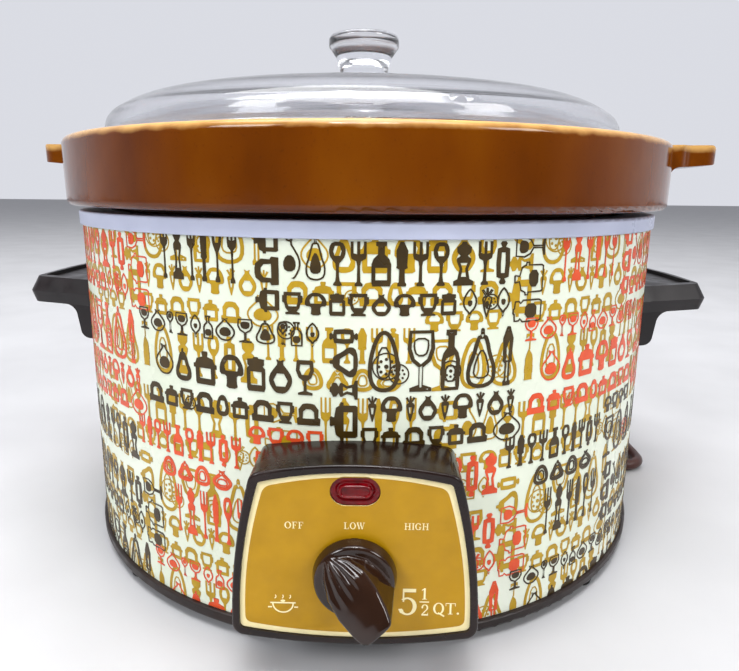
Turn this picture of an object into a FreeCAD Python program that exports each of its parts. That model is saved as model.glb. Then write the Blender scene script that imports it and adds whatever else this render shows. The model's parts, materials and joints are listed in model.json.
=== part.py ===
"""A round countertop slow cooker: a lift-out stoneware crock in an electrically heated, steel-clad body.

Units are millimetres. Every function works about the body's axis, with the feet's undersides at z = 0
and the control panel facing -Y. save() then moves the piece by AXIS_Y, so that the written parts have
their origin at the bottom centre of the whole cooker's box, without its cord.
"""

import FreeCAD, Part
import math
import os

V = FreeCAD.Vector
UP = V(0, 0, 1)

# ---- driving dimensions -------------------------------------------------------------------------
FOOT_H = 3.0  # rubber feet hold the base ring this far off the table

SHELL_R_LOW = 134.7  # printed steel shell, slightly wider at its foot
SHELL_R_TOP = 133.0
SHELL_T = 0.8
SHELL_LOW = 8.0
SHELL_TOP = 147.3

RING_R = 134.2  # white trim ring over the shell's top edge
RING_LOW = 143.6
RING_TOP = 149.2
RING_T = 0.8

BASE_R = 136.2
BASE_T = 2.2

WELL_R = 122.0  # heated pan, outside
WELL_T = 0.9
WELL_LOW = 31.0
WELL_CORNER = 16.0
CLAMP_SCREW_OUT = 3.2  # the band clamps' screws stand this far off the well

CROCK_R = 118.0  # crock body, outside, at its top
CROCK_IN_R = 111.5
CROCK_LOW = 32.2
CROCK_FLOOR = 7.5
BAND_R = 138.3  # thick rim band of the crock
BAND_LOW = 151.2
RIM_Z = 177.9
LEDGE_Z = 173.6  # the lid rests here, inside the rim
LEDGE_R = 128.4
CROCK_TURN = -5.0  # the crock stands a little askew in its well, degrees
LUG_REACH = 156.2
LUG_HALF = 31.0
LUG_T = 9.2

LID_R = 124.6
LID_WALL_R = 118.6
LID_TOP = 207.2
LID_T = 4.2
LID_KNOB_R = 16.9
LID_KNOB_TOP = 230.3
LID_SHIFT = -2.4  # the lid lies loose in the crock's rim, to the left of its middle

HANDLE_TOP = 117.5
HANDLE_T = 11.8
HANDLE_TIP = 160.6
HANDLE_LOW = 90.5
HANDLE_ANGLE = 21.0  # half the angle that the mounting flange covers
HANDLE_SCREW_ANGLE = 12.0
HANDLE_SCREW_Z = 98.0

FACE_Y = 152.0  # control housing's lip, in front of the axis
PANEL_SEAT_Y = 150.4
PANEL_T = 0.8
HOUSING_WALL = 2.2
LENS_Z = 70.2
KNOB_Z = 42.4
KNOB_R = 13.3
KNOB_FRONT = 171.5
POINTER_TURN = 45.0  # the pointer's angle left of straight up when the cooker is off

SWITCH_BORE_R = 3.05
SHAFT_R = 3.0
SHAFT_FLAT = 1.9  # the flat on its end stands this far off its centre
SHAFT_END_Y = 160.4

CORD_R = 3.0
CORD_EXIT_Z = 22.0
EXIT_OUT = 160.0  # how far behind the axis the strain relief ends
HANK_X = 150.7  # the folded cord lies along the cooker's right side
HANK_HALF = 15.0
HANK_FRONT = 8.4
HANK_STEP = 32.0  # further forward than this, the hank is one strand high
HANK_REAR = 145.0
HANK_LOW = 0.6
TIE_T = 0.6

AXIS_Y = (KNOB_FRONT - BAND_R) / 2  # the body's axis behind the origin


# ---- helpers ------------------------------------------------------------------------------------
def save(name, shape):
    """Moves a piece into the part's frame and writes its STEP file."""
    moved = shape.copy()
    moved.translate(V(0, AXIS_Y, 0))
    moved.exportStep("parts/" + name + ".step")
    print(f"{name:24s} solids {len(moved.Solids):3d}  volume {moved.Volume / 1000:9.3f} cm3  valid {moved.isValid()}")


def group(shapes):
    """Separate solids kept together in one piece's file."""
    return Part.makeCompound([solid for shape in shapes for solid in shape.Solids])


def fused(first, *others):
    return first.multiFuse(list(others)).removeSplitter()


def rounded_wire(corners, place):
    """A closed wire through corners (a, b, radius), with a tangent arc of that radius at each."""
    count = len(corners)
    edges = []
    ends = []
    for i, (a, b, radius) in enumerate(corners):
        here = V(a, b, 0)
        before = V(*corners[i - 1][:2], 0) - here
        after = V(*corners[(i + 1) % count][:2], 0) - here
        before.normalize()
        after.normalize()
        if radius == 0:
            ends.append((here, None, here))
            continue
        half = before.getAngle(after) / 2
        back = radius / math.tan(half)
        middle = before + after
        middle.normalize()
        centre = here + middle * (radius / math.sin(half))
        ends.append((here + before * back, centre - middle * radius, here + after * back))
    for i, (start, peak, end) in enumerate(ends):
        if peak is not None:
            edges.append(Part.Arc(place(start), place(peak), place(end)).toShape())
        following = ends[(i + 1) % count][0]
        if (following - end).Length > 1e-6:
            edges.append(Part.LineSegment(place(end), place(following)).toShape())
    return Part.Wire(edges)


def turned(profile, low_angle=0.0, angle=360.0):
    """A solid of revolution about the body's axis, from corners (r, z, radius)."""
    face = Part.Face(rounded_wire(profile, lambda p: V(p.x, 0, p.y)))
    face.rotate(V(0, 0, 0), UP, low_angle)
    return face.revolve(V(0, 0, 0), UP, angle)


def slab(outline, low, high):
    """A flat plate from corners (x, y, radius), between two heights."""
    return Part.Face(rounded_wire(outline, lambda p: V(p.x, p.y, low))).extrude(V(0, 0, high - low))


def panel(outline, front, back):
    """An upright plate from corners (x, z, radius), between two distances in front of the axis."""
    return Part.Face(rounded_wire(outline, lambda p: V(p.x, -front, p.y))).extrude(V(0, front - back, 0))


def rod(radius, start, end):
    along = end - start
    return Part.makeCylinder(radius, along.Length, start, along)


def polar(radius, angle, z=0.0):
    """The point at a radius and an angle from +X, in degrees."""
    turn = math.radians(angle)
    return V(radius * math.cos(turn), radius * math.sin(turn), z)


def shell_radius(z):
    """The steel shell's outer radius at a height."""
    share = (z - SHELL_LOW) / (RING_LOW - SHELL_LOW)
    return SHELL_R_LOW + (SHELL_R_TOP - SHELL_R_LOW) * share


def shell_envelope(grow=0.0):
    """The solid cone that the shell's outside follows."""
    low, high = -20.0, 160.0
    return Part.makeCone(shell_radius(low) + grow, shell_radius(high) + grow, high - low, V(0, 0, low))


def bowed_outline(top_half, low_half, low, high, crown, bow):
    """A television-screen outline in the XZ plane: four bowed sides through given corners."""
    top = high - crown
    bottom = low + crown
    side = (top_half + low_half) / 2 + bow
    corners = [V(-top_half, top, 0), V(top_half, top, 0), V(low_half, bottom, 0), V(-low_half, bottom, 0)]
    middle_z = (low + high) / 2
    peaks = [V(0, high, 0), V(side, middle_z, 0), V(0, low, 0), V(-side, middle_z, 0)]
    return corners, peaks


def bowed_panel(top_half, low_half, low, high, crown, bow, corner, front, back):
    """An upright plate with a bowed outline and rounded corners."""
    corners, peaks = bowed_outline(top_half, low_half, low, high, crown, bow)
    edges = []
    for i, peak in enumerate(peaks):
        points = [corners[i], peak, corners[(i + 1) % 4]]
        edges.append(Part.Arc(*[V(p.x, -front, p.y) for p in points]).toShape())
    solid = Part.Face(Part.Wire(edges)).extrude(V(0, front - back, 0))
    upright = []
    for edge in solid.Edges:
        start, end = edge.Vertexes[0].Point, edge.Vertexes[-1].Point
        if abs(start.x - end.x) < 1e-6 and abs(start.z - end.z) < 1e-6:
            upright.append(edge)
    return solid.makeFillet(corner, upright)


def obround(half_long, half_high, z, front, back):
    """An upright plate with round ends, centred on the panel."""
    outline = [
        (-half_long, z - half_high, half_high * 0.999),
        (half_long, z - half_high, half_high * 0.999),
        (half_long, z + half_high, half_high * 0.999),
        (-half_long, z + half_high, half_high * 0.999),
    ]
    return panel(outline, front, back)


def hexagon(across_flats, place):
    points = [place(polar(across_flats / math.sqrt(3), 60 * i)) for i in range(6)]
    return Part.Face(Part.makePolygon(points + points[:1]))


def tube(radius, route, name):
    """A cord: straight runs joined by arcs as large as the runs allow. Prints the arcs' radii."""
    points = [V(*p) for p in route]
    edges = []
    start = points[0]
    radii = []
    length = 0.0
    for before, here, after in zip(points, points[1:], points[2:]):
        arriving = before - here
        leaving = after - here
        shorter = min(arriving.Length, leaving.Length)
        arriving.normalize()
        leaving.normalize()
        half_turn = (math.pi - arriving.getAngle(leaving)) / 2
        bend = 0.45 * shorter / math.tan(half_turn)
        middle = arriving + leaving
        middle.normalize()
        centre = here + middle * (bend / math.cos(half_turn))
        into = here + arriving * (0.45 * shorter)
        out = here + leaving * (0.45 * shorter)
        edges.append(Part.LineSegment(start, into).toShape())
        edges.append(Part.Arc(into, centre - middle * bend, out).toShape())
        length += edges[-2].Length + edges[-1].Length
        radii.append(round(bend, 1))
        start = out
    edges.append(Part.LineSegment(start, points[-1]).toShape())
    length += edges[-1].Length
    section = Part.Wire(Part.Circle(points[0], points[1] - points[0], radius).toShape())
    solid = Part.Wire(edges).makePipeShell([section], True, True)
    share = solid.Volume / (math.pi * radius**2 * length)
    print(f"{name}: length {length:.1f}, radii {radii}, volume over section times length {share:.4f}")
    return solid


# ---- crock and lid ------------------------------------------------------------------------------
def stoneware_crock():
    profile = [
        (0, CROCK_LOW, 0),
        (CROCK_R - 2.5, CROCK_LOW, 17),
        (CROCK_R, BAND_LOW, 0.8),
        (BAND_R, BAND_LOW, 2.4),
        (BAND_R, RIM_Z, 3.0),
        (LEDGE_R, RIM_Z, 1.6),
        (LEDGE_R - 0.6, LEDGE_Z, 0.8),
        (CROCK_IN_R, LEDGE_Z - 0.4, 2.6),
        (CROCK_IN_R - 1.5, CROCK_LOW + CROCK_FLOOR, 17),
        (0, CROCK_LOW + CROCK_FLOOR, 0),
    ]
    bowl = turned(profile)
    root = BAND_R - 8
    outline = [
        (root, -LUG_HALF - 5.5, 0),
        (BAND_R - 0.5, -LUG_HALF - 5.0, 5),
        (BAND_R + 4, -LUG_HALF - 0.5, 4),
        (LUG_REACH, -LUG_HALF + 2.0, 9),
        (LUG_REACH + 0.6, 0, 120),
        (LUG_REACH, LUG_HALF - 2.0, 9),
        (BAND_R + 4, LUG_HALF + 0.5, 4),
        (BAND_R - 0.5, LUG_HALF + 5.0, 5),
        (root, LUG_HALF + 5.5, 0),
    ]
    side = [
        (root, RIM_Z - 14, 0),
        (BAND_R, RIM_Z - 14, 0),
        (BAND_R + 0.2, RIM_Z - LUG_T, 4.0),
        (LUG_REACH + 2, RIM_Z - LUG_T + 1.7, 2.4),
        (LUG_REACH + 1.2, RIM_Z + 0.6, 2.6),
        (BAND_R - 4, RIM_Z, 3.0),
        (root, RIM_Z, 0),
    ]
    plan = slab(outline, RIM_Z - 20, RIM_Z + 5)
    lug = plan.common(turned(side, -30, 60))
    crock = bowl
    for turn in (0, 180):
        ear = lug.copy()
        ear.rotate(V(0, 0, 0), UP, turn)
        crock = crock.fuse(ear)
    crock = crock.removeSplitter()
    crock.rotate(V(0, 0, 0), UP, CROCK_TURN)
    return crock


def lid_outside():
    """The dome's outside from the flange up to the knob's foot, as corners (r, z, radius)."""
    return [
        (LID_R, LEDGE_Z + 4.0, 1.2),
        (LID_WALL_R + 0.8, LEDGE_Z + 5.0, 2.0),
        (LID_WALL_R, 187.5, 9.0),
        (106.5, 195.2, 40),
        (72.0, 200.9, 200),
        (38.0, 204.8, 150),
    ]


def glass_lid():
    outside = lid_outside()
    inside = [
        (0, LID_TOP - LID_T, 0),
        (38.0, 204.8 - LID_T, 150),
        (71.4, 200.9 - LID_T, 200),
        (104.8, 195.2 - LID_T, 36),
        (LID_WALL_R - 4.4, 185.2, 7.0),
        (LID_WALL_R - 3.2, LEDGE_Z + 0.2, 1.0),
    ]
    foot = LEDGE_Z + 0.3
    knob = [
        (12.8, LID_TOP + 0.1, 3.0),
        (11.2, LID_TOP + 6.3, 8.0),
        (13.4, LID_KNOB_TOP - 9.7, 6.0),
        (LID_KNOB_R, LID_KNOB_TOP - 5.0, 2.0),
        (LID_KNOB_R, LID_KNOB_TOP, 2.2),
        (0, LID_KNOB_TOP, 0),
    ]
    profile = [*inside, (LID_R - 0.2, foot, 1.2), *outside, *knob]
    lid = turned(profile)
    lid.translate(V(LID_SHIFT, 0, 0))
    return lid


# ---- body ---------------------------------------------------------------------------------------
def outer_shell():
    inner_low = shell_radius(SHELL_LOW) - SHELL_T
    inner_top = shell_radius(SHELL_TOP) - SHELL_T
    profile = [
        (inner_low, SHELL_LOW, 0),
        (inner_low + SHELL_T, SHELL_LOW, 0),
        (inner_top + SHELL_T, SHELL_TOP, 0),
        (inner_top, SHELL_TOP, 0),
    ]
    shell = turned(profile)
    wiring = panel([(-13, 27, 2), (13, 27, 2), (13, 78, 2), (-13, 78, 2)], 150, 120)
    holes = [wiring]
    for centre in (0, 180):
        for side in (-1, 1):
            angle = centre + side * HANDLE_SCREW_ANGLE
            holes.append(rod(2.2, polar(125, angle, HANDLE_SCREW_Z), polar(140, angle, HANDLE_SCREW_Z)))
    for x, z in housing_screw_places():
        holes.append(rod(1.7, V(x, -118, z), V(x, -140, z)))
    holes.append(rod(7.0, V(0, 125, CORD_EXIT_Z), V(0, 140, CORD_EXIT_Z)))
    return shell.cut(Part.makeCompound(holes))


def top_trim_ring():
    inner = RING_R - RING_T
    profile = [
        (inner, RING_LOW, 0),
        (RING_R, RING_LOW, 0.3),
        (RING_R, RING_TOP, 1.0),
        (121.4, RING_TOP, 0),
        (121.4, RING_TOP - RING_T, 0),
        (inner, RING_TOP - RING_T, 0.2),
    ]
    return turned(profile)


def heating_well():
    inner = WELL_R - WELL_T
    flange_low = SHELL_TOP + 0.1
    profile = [
        (0, WELL_LOW, 0),
        (WELL_R, WELL_LOW, WELL_CORNER),
        (WELL_R, flange_low, 0.4),
        (RING_R - RING_T - 0.1, flange_low, 0),
        (RING_R - RING_T - 0.1, flange_low + WELL_T, 0),
        (inner, flange_low + WELL_T, 1.2),
        (inner, WELL_LOW + WELL_T, WELL_CORNER - WELL_T),
        (0, WELL_LOW + WELL_T, 0),
    ]
    return turned(profile)


def heater_band(low, high):
    """A flat heating element clamped round the well, open at the back between two ears."""
    thick = 1.6
    gap = 2.0
    band = turned(
        [(WELL_R, low, 0), (WELL_R + thick, low, 0), (WELL_R + thick, high, 0), (WELL_R, high, 0)],
        90 + gap,
        360 - 2 * gap,
    )
    ears = []
    for side in (-1, 1):
        ear = Part.makeBox(1.2, 4.6, high - low, V(-0.6, WELL_R - 0.2, low))
        ear.rotate(V(0, 0, 0), UP, side * (gap + 0.1))
        ears.append(ear.cut(Part.makeCylinder(WELL_R, high, V(0, 0, 0))))
    middle = (low + high) / 2
    screw_hole = rod(1.0, V(-8, WELL_R + CLAMP_SCREW_OUT, middle), V(8, WELL_R + CLAMP_SCREW_OUT, middle))
    return fused(band, *ears).cut(screw_hole)


def band_clamp_screws(levels):
    screws = []
    for z in levels:
        across = WELL_R + CLAMP_SCREW_OUT
        shank = rod(0.9, V(-7.0, across, z), V(6.4, across, z))
        head = rod(1.5, V(6.2, across, z), V(7.4, across, z))
        nut = rod(1.6, V(-7.0, across, z), V(-5.7, across, z))
        screws.append(fused(shank, head, nut))
    return group(screws)


def insulation_blanket():
    return turned([(127.0, 62, 0), (129.0, 62, 0.6), (129.0, 138, 0.6), (127.0, 138, 0)])


def base_ring():
    inside = shell_radius(SHELL_LOW) - SHELL_T - 0.3
    profile = [
        (123.0, FOOT_H, 0.8),
        (BASE_R, FOOT_H, 2.0),
        (BASE_R, SHELL_LOW, 0.7),
        (inside, SHELL_LOW, 0),
        (inside, SHELL_LOW + 5, 0.4),
        (inside - BASE_T, SHELL_LOW + 5, 0.4),
        (inside - BASE_T, FOOT_H + BASE_T, 0.6),
        (123.0, FOOT_H + BASE_T, 0.5),
    ]
    ring = turned(profile)
    pockets = [rod(2.5, V(x, y, 0), V(x, y, 10)) for x, y in foot_places()]
    return ring.cut(Part.makeCompound(pockets))


def foot_places():
    places = [polar(129.6 - 0.4, 45 + 90 * i) for i in range(4)]
    return [(p.x, p.y) for p in places]


def rubber_feet():
    feet = []
    for x, y in foot_places():
        pad = Part.makeCone(5.2, 5.8, FOOT_H, V(x, y, 0))
        pad = pad.makeFillet(0.6, [e for e in pad.Edges if e.BoundBox.ZMax < 0.01])
        stem = rod(2.4, V(x, y, FOOT_H), V(x, y, FOOT_H + BASE_T))
        feet.append(fused(pad, stem))
    return group(feet)


def bottom_cover():
    """A pressed steel pan that closes the body from below."""
    rim = 130.9
    low = FOOT_H + BASE_T
    thick = 0.8
    rise = 4.0
    profile = [
        (3.2, low + rise, 0),
        (108.0, low + rise, 3.0),
        (114.0, low, 3.0),
        (rim, low, 0),
        (rim, low + thick, 0),
        (114.4, low + thick, 3.0),
        (108.4, low + rise + thick, 3.0),
        (3.2, low + rise + thick, 0),
    ]
    cover = turned(profile)
    vents = [rod(3.0, V(0, 0, 0) + polar(72, 60 * i), polar(72, 60 * i, 20)) for i in range(6)]
    return cover.cut(Part.makeCompound(vents))


def clamp_stud():
    """Welded under the well; it pulls the well, the shell and the base together."""
    plate = Part.makeCylinder(9, 1.2, V(0, 0, WELL_LOW - 1.2))
    stud = Part.makeCylinder(2.5, WELL_LOW - 1.2 - 2.2, V(0, 0, 2.2))
    tip = [e for e in stud.Edges if e.BoundBox.ZMax < 2.21]
    return fused(plate, stud.makeChamfer(0.5, tip))


def clamp_washer():
    top = FOOT_H + BASE_T + 4.0
    return Part.makeCylinder(9, 1.2, V(0, 0, top - 1.2)).cut(Part.makeCylinder(2.7, 5, V(0, 0, top - 3)))


def clamp_nut():
    top = FOOT_H + BASE_T + 4.0 - 1.2
    nut = hexagon(8.0, lambda p: V(p.x, p.y, top - 4.0)).extrude(V(0, 0, 4.0))
    return nut.cut(Part.makeCylinder(2.55, 10, V(0, 0, top - 6)))


# ---- handles ------------------------------------------------------------------------------------
def handle_outline(inset, z):
    """The handle's plan, drawn in by some distance, as a wire at a height."""
    tip = HANDLE_TIP - inset
    tip_half = 37.6 - inset
    root_half = 54.6 - inset
    corners = [
        (110, -root_half, 0),
        (tip - 2.0, -tip_half, 6),
        (tip, 0, 160),
        (tip - 2.0, tip_half, 6),
        (110, root_half, 0),
    ]
    return rounded_wire(corners, lambda p: V(p.x, p.y, z))


def handle():
    """The right-hand handle: a tray-topped grip and the flange that bolts it to the shell."""
    ridge = HANDLE_TOP - 6.5
    upper = Part.makeLoft([handle_outline(0, ridge), handle_outline(2.7, HANDLE_TOP)], True, True)
    lower = Part.makeLoft([handle_outline(1.2, HANDLE_TOP - HANDLE_T), handle_outline(0, ridge)], True, True)
    tray = slab(
        [
            (138.4, -36.0, 5),
            (HANDLE_TIP - 6.4, -30.6, 4),
            (HANDLE_TIP - 5.2, 0, 150),
            (HANDLE_TIP - 6.4, 30.6, 4),
            (138.4, 36.0, 5),
        ],
        HANDLE_TOP - 1.8,
        HANDLE_TOP + 1,
    )
    bottom = HANDLE_TOP - HANDLE_T
    flange = turned(
        [
            (118, HANDLE_LOW, 0),
            (138.9, HANDLE_LOW, 3.6),
            (141.0, bottom, 5.0),
            (150, bottom, 0),
            (150, bottom + 3, 0),
            (118, bottom + 3, 0),
        ],
        -HANDLE_ANGLE,
        2 * HANDLE_ANGLE,
    )
    under_grip = Part.Face(handle_outline(1.2, HANDLE_LOW - 1)).extrude(V(0, 0, bottom + 5 - HANDLE_LOW))
    grip = fused(upper.cut(tray), lower, flange.common(under_grip))
    holes = []
    for side in (-1, 1):
        angle = side * HANDLE_SCREW_ANGLE
        holes.append(rod(2.0, polar(125, angle, HANDLE_SCREW_Z), polar(138, angle, HANDLE_SCREW_Z)))
    return grip.cut(shell_envelope()).cut(Part.makeCompound(holes))


def handle_screws():
    screws = []
    inside = shell_radius(HANDLE_SCREW_Z) - SHELL_T - 0.12
    for centre in (0, 180):
        for side in (-1, 1):
            angle = centre + side * HANDLE_SCREW_ANGLE
            shank = rod(1.9, polar(inside - 0.5, angle, HANDLE_SCREW_Z), polar(137.6, angle, HANDLE_SCREW_Z))
            head = rod(3.8, polar(inside - 2.2, angle, HANDLE_SCREW_Z), polar(inside, angle, HANDLE_SCREW_Z))
            screws.append(fused(shank, head))
    return group(screws)


# ---- control panel ------------------------------------------------------------------------------
def housing_block(inset, front, back):
    """The housing's outline, drawn in by some distance, as a block."""
    corner = max(1.0, 4.4 - inset)
    return bowed_panel(
        31.6 - inset * 0.94,
        39.0 - inset * 1.02,
        16.9 + inset,
        79.1 - inset,
        3.4,
        1.9,
        corner,
        front,
        back,
    )


def housing_screw_places():
    return [(-25.0, 66.0), (25.0, 66.0), (-30.0, 27.0), (30.0, 27.0)]


def control_housing():
    block = housing_block(0, FACE_Y, 100)
    front_edges = [e for e in block.Edges if e.BoundBox.YMax < -FACE_Y + 0.01]
    block = block.makeFillet(0.9, front_edges)
    seat = housing_block(2.5, FACE_Y + 5, PANEL_SEAT_Y)
    cavity = housing_block(2.6, PANEL_SEAT_Y - HOUSING_WALL, 90)
    housing = block.cut(seat).cut(cavity).cut(shell_envelope())
    bosses = []
    for x, z in housing_screw_places():
        post = rod(3.2, V(x, -PANEL_SEAT_Y + HOUSING_WALL - 0.5, z), V(x, -110, z))
        bosses.append(post.cut(shell_envelope()))
    housing = fused(housing, *bosses)
    holes = [rod(1.4, V(x, -118, z), V(x, -146, z)) for x, z in housing_screw_places()]
    holes.append(rod(4.75, V(0, -FACE_Y, KNOB_Z), V(0, -140, KNOB_Z)))
    holes.append(obround(7.8, 4.9, LENS_Z, FACE_Y, 140))
    return housing.cut(Part.makeCompound(holes))


def control_housing_screws():
    """Self-tapping screws, driven outwards from inside the shell into the housing's bosses."""
    screws = []
    for x, z in housing_screw_places():
        inside = math.sqrt((shell_radius(z) - SHELL_T) ** 2 - (abs(x) + 3.0) ** 2) - 0.1
        shank = rod(1.3, V(x, -inside + 0.3, z), V(x, -inside - 9, z))
        head = rod(2.8, V(x, -inside + 1.8, z), V(x, -inside, z))
        screws.append(fused(shank, head))
    return group(screws)


def face_plate():
    plate = housing_block(2.6, PANEL_SEAT_Y + PANEL_T, PANEL_SEAT_Y)
    shaft_hole = rod(4.7, V(0, -FACE_Y, KNOB_Z), V(0, -140, KNOB_Z))
    return plate.cut(shaft_hole).cut(obround(7.8, 4.9, LENS_Z, FACE_Y, 140))


def indicator_lens():
    body = obround(7.7, 4.8, LENS_Z, PANEL_SEAT_Y + 0.3, PANEL_SEAT_Y - HOUSING_WALL)
    bar = obround(5.1, 2.15, LENS_Z, PANEL_SEAT_Y + 1.3, PANEL_SEAT_Y)
    flange = obround(9.4, 6.0, LENS_Z, PANEL_SEAT_Y - HOUSING_WALL, PANEL_SEAT_Y - HOUSING_WALL - 1.0)
    return fused(body, bar, flange)


def neon_lamp():
    y = -(PANEL_SEAT_Y - 6.6)
    glass = rod(2.9, V(-7.0, y, LENS_Z), V(6.0, y, LENS_Z))
    return glass.makeFillet(1.6, [e for e in glass.Edges if e.BoundBox.XMax < -6.9])


def lamp_resistor():
    y = -(PANEL_SEAT_Y - 6.6)
    return rod(1.3, V(14.6, y, LENS_Z - 5.5), V(14.6, y, LENS_Z - 12.5))


def lamp_leads():
    """One lead runs from the lamp to its resistor, the other two go down to the switch."""
    y = -(PANEL_SEAT_Y - 6.6)
    to_resistor = [
        (6.15, y, LENS_Z + 1.2),
        (10.0, y, LENS_Z + 1.0),
        (14.0, y, LENS_Z - 1.2),
        (14.6, y, LENS_Z - 5.3),
    ]
    to_switch = [
        (6.5, y, LENS_Z - 1.2),
        (8.6, y + 0.6, LENS_Z - 3.2),
        (9.0, y + 1.6, LENS_Z - 9.0),
        (8.6, y + 2.2, KNOB_Z + 10.3),
    ]
    from_resistor = [
        (14.6, y, LENS_Z - 12.75),
        (14.5, y + 0.6, LENS_Z - 15.5),
        (12.8, y + 2.2, LENS_Z - 20.0),
        (11.7, y + 3.0, LENS_Z - 23.0),
    ]
    routes = {"lamp lead": to_resistor, "lamp to switch": to_switch, "resistor to switch": from_resistor}
    return group([tube(0.5, route, name) for name, route in routes.items()])


def knob_point(along, across, out):
    """A point of the control knob: along its pointer, across it, and out from the panel's face."""
    turn = math.radians(POINTER_TURN)
    x = -along * math.sin(turn) + across * math.cos(turn)
    z = along * math.cos(turn) + across * math.sin(turn)
    return V(x, -(PANEL_SEAT_Y + PANEL_T) - out, KNOB_Z + z)


def knob_section(along, out_low, out_high, half_low, half_high):
    """A four-sided cross-section of the finger grip."""
    corners = [(-half_low, out_low), (half_low, out_low), (half_high, out_high), (-half_high, out_high)]
    points = [knob_point(along, across, out) for across, out in corners]
    return Part.makePolygon(points + points[:1])


def control_knob():
    """A round skirt with a wedge-shaped finger grip that runs down to a pointer."""
    face = PANEL_SEAT_Y + PANEL_T
    base = face + 1.0
    skirt = Part.makeCone(KNOB_R, KNOB_R - 1.5, 4.4, V(0, -base, KNOB_Z), V(0, -1, 0))
    skirt = skirt.makeFillet(1.2, [e for e in skirt.Edges if e.BoundBox.YMax < -base - 4.3])
    reach = KNOB_FRONT - face
    sections = [
        knob_section(11.8, 4.0, 5.6, 2.8, 1.0),
        knob_section(8.0, 4.0, 8.1, 6.0, 4.2),
        knob_section(3.5, 4.0, 11.0, 7.6, 6.0),
        knob_section(-2.0, 4.0, 14.4, 8.3, 6.3),
        knob_section(-7.0, 4.0, 17.8, 8.3, 5.4),
        knob_section(-10.8, 4.0, reach, 8.0, 4.6),
    ]
    rounding = rod(12.6, knob_point(1.2, 1.2, 3.0), knob_point(1.2, 1.2, reach + 1))
    grip = Part.makeLoft(sections, True, True).common(rounding)
    hollow = rod(11.2, V(0, -face, KNOB_Z), V(0, -base - 2.4, KNOB_Z))
    bore = rod(SHAFT_R + 0.01, V(0, -face, KNOB_Z), V(0, -SHAFT_END_Y - 0.2, KNOB_Z))
    return fused(skirt, grip).cut(hollow).cut(bore)


def knob_spring_clip():
    """A steel leaf between the shaft's flat and the knob's bore, which holds the knob on."""
    return Part.makeBox(3.4, 5.6, 0.45, V(-1.7, -SHAFT_END_Y + 0.2, KNOB_Z + SHAFT_FLAT + 0.02))


def switch_body():
    """A three-position rotary switch, held by its threaded bush."""
    front = PANEL_SEAT_Y - HOUSING_WALL
    case = Part.makeBox(22, 12.2, 20, V(-11, -front, KNOB_Z - 10))
    case = case.makeFillet(1.5, [e for e in case.Edges if abs(e.Vertexes[0].Y - e.Vertexes[1].Y) > 1])
    bush = rod(4.5, V(0, -front, KNOB_Z), V(0, -154.2, KNOB_Z))
    bore = rod(SWITCH_BORE_R, V(0, -160, KNOB_Z), V(0, -front + 9, KNOB_Z))
    return fused(case, bush).cut(bore)


def switch_shaft():
    front = PANEL_SEAT_Y - HOUSING_WALL
    shaft = rod(SHAFT_R, V(0, -front + 8.6, KNOB_Z), V(0, -SHAFT_END_Y, KNOB_Z))
    shaft = shaft.makeChamfer(0.4, [e for e in shaft.Edges if e.BoundBox.YMax < -SHAFT_END_Y + 0.1])
    return shaft.cut(Part.makeBox(8, 6.0, 4, V(-4, -SHAFT_END_Y, KNOB_Z + SHAFT_FLAT)))


def switch_nut():
    face = PANEL_SEAT_Y + PANEL_T
    nut = hexagon(12.0, lambda p: V(p.x, -face, KNOB_Z + p.y)).extrude(V(0, -2.0, 0))
    return nut.cut(rod(4.55, V(0, -140, KNOB_Z), V(0, -160, KNOB_Z)))


def switch_terminals():
    rear = PANEL_SEAT_Y - HOUSING_WALL - 12.2
    blades = []
    for x, z in ((-6.5, 5.5), (6.5, 5.5), (-6.5, -5.5), (6.5, -5.5)):
        blades.append(Part.makeBox(4.8, 6.4, 0.8, V(x - 2.4, -rear, KNOB_Z + z - 0.4)))
    return group(blades)


# ---- wiring in the base -------------------------------------------------------------------------
def heater_leads():
    """Sleeved leads from the heating bands down the well's side and forward under it."""
    y = -129.4
    left = [
        (-6.5, y, KNOB_Z - 5.5 - 1.6),
        (-6.6, y + 0.4, KNOB_Z - 10.0),
        (-7.6, y + 6.0, 23.0),
        (-12.0, y + 18.0, 17.5),
        (-19.0, y + 37.4, 16.0),
    ]
    right = [
        (6.5, y, KNOB_Z - 5.5 - 1.6),
        (6.6, y + 0.4, KNOB_Z - 10.0),
        (7.8, y + 6.0, 23.5),
        (12.5, y + 18.0, 18.0),
        (21.0, y + 35.4, 16.5),
    ]
    return group([tube(1.2, left, "left heater lead"), tube(1.2, right, "right heater lead")])


def wire_connectors():
    """Crimped caps over the joints between the mains cord and the heater leads."""
    caps = []
    for x, y in ((-19.0, -91.4), (21.0, -93.4)):
        z = 16.0 if x < 0 else 16.5
        cap = Part.makeCone(3.6, 4.4, 16, V(x, y, z), V(0, 1, 0))
        caps.append(cap.makeFillet(0.8, [e for e in cap.Edges if e.BoundBox.YMax < y + 0.1]))
    return group(caps)


def supply_leads():
    """The mains cord's two cores, from the strain relief forward to the caps."""
    left = [(-2.0, 129.1, CORD_EXIT_Z), (-6, 108, 19.0), (-20, 60, 16.0), (-24, 10, 15.5), (-20, -42, 15.6), (-19.0, -74.9, 16.0)]
    right = [(2.0, 129.1, CORD_EXIT_Z), (7, 106, 19.5), (22, 58, 16.5), (27, 8, 15.5), (23, -44, 15.8), (21.0, -76.9, 16.5)]
    return group([tube(1.3, left, "left core"), tube(1.3, right, "right core")])


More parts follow.
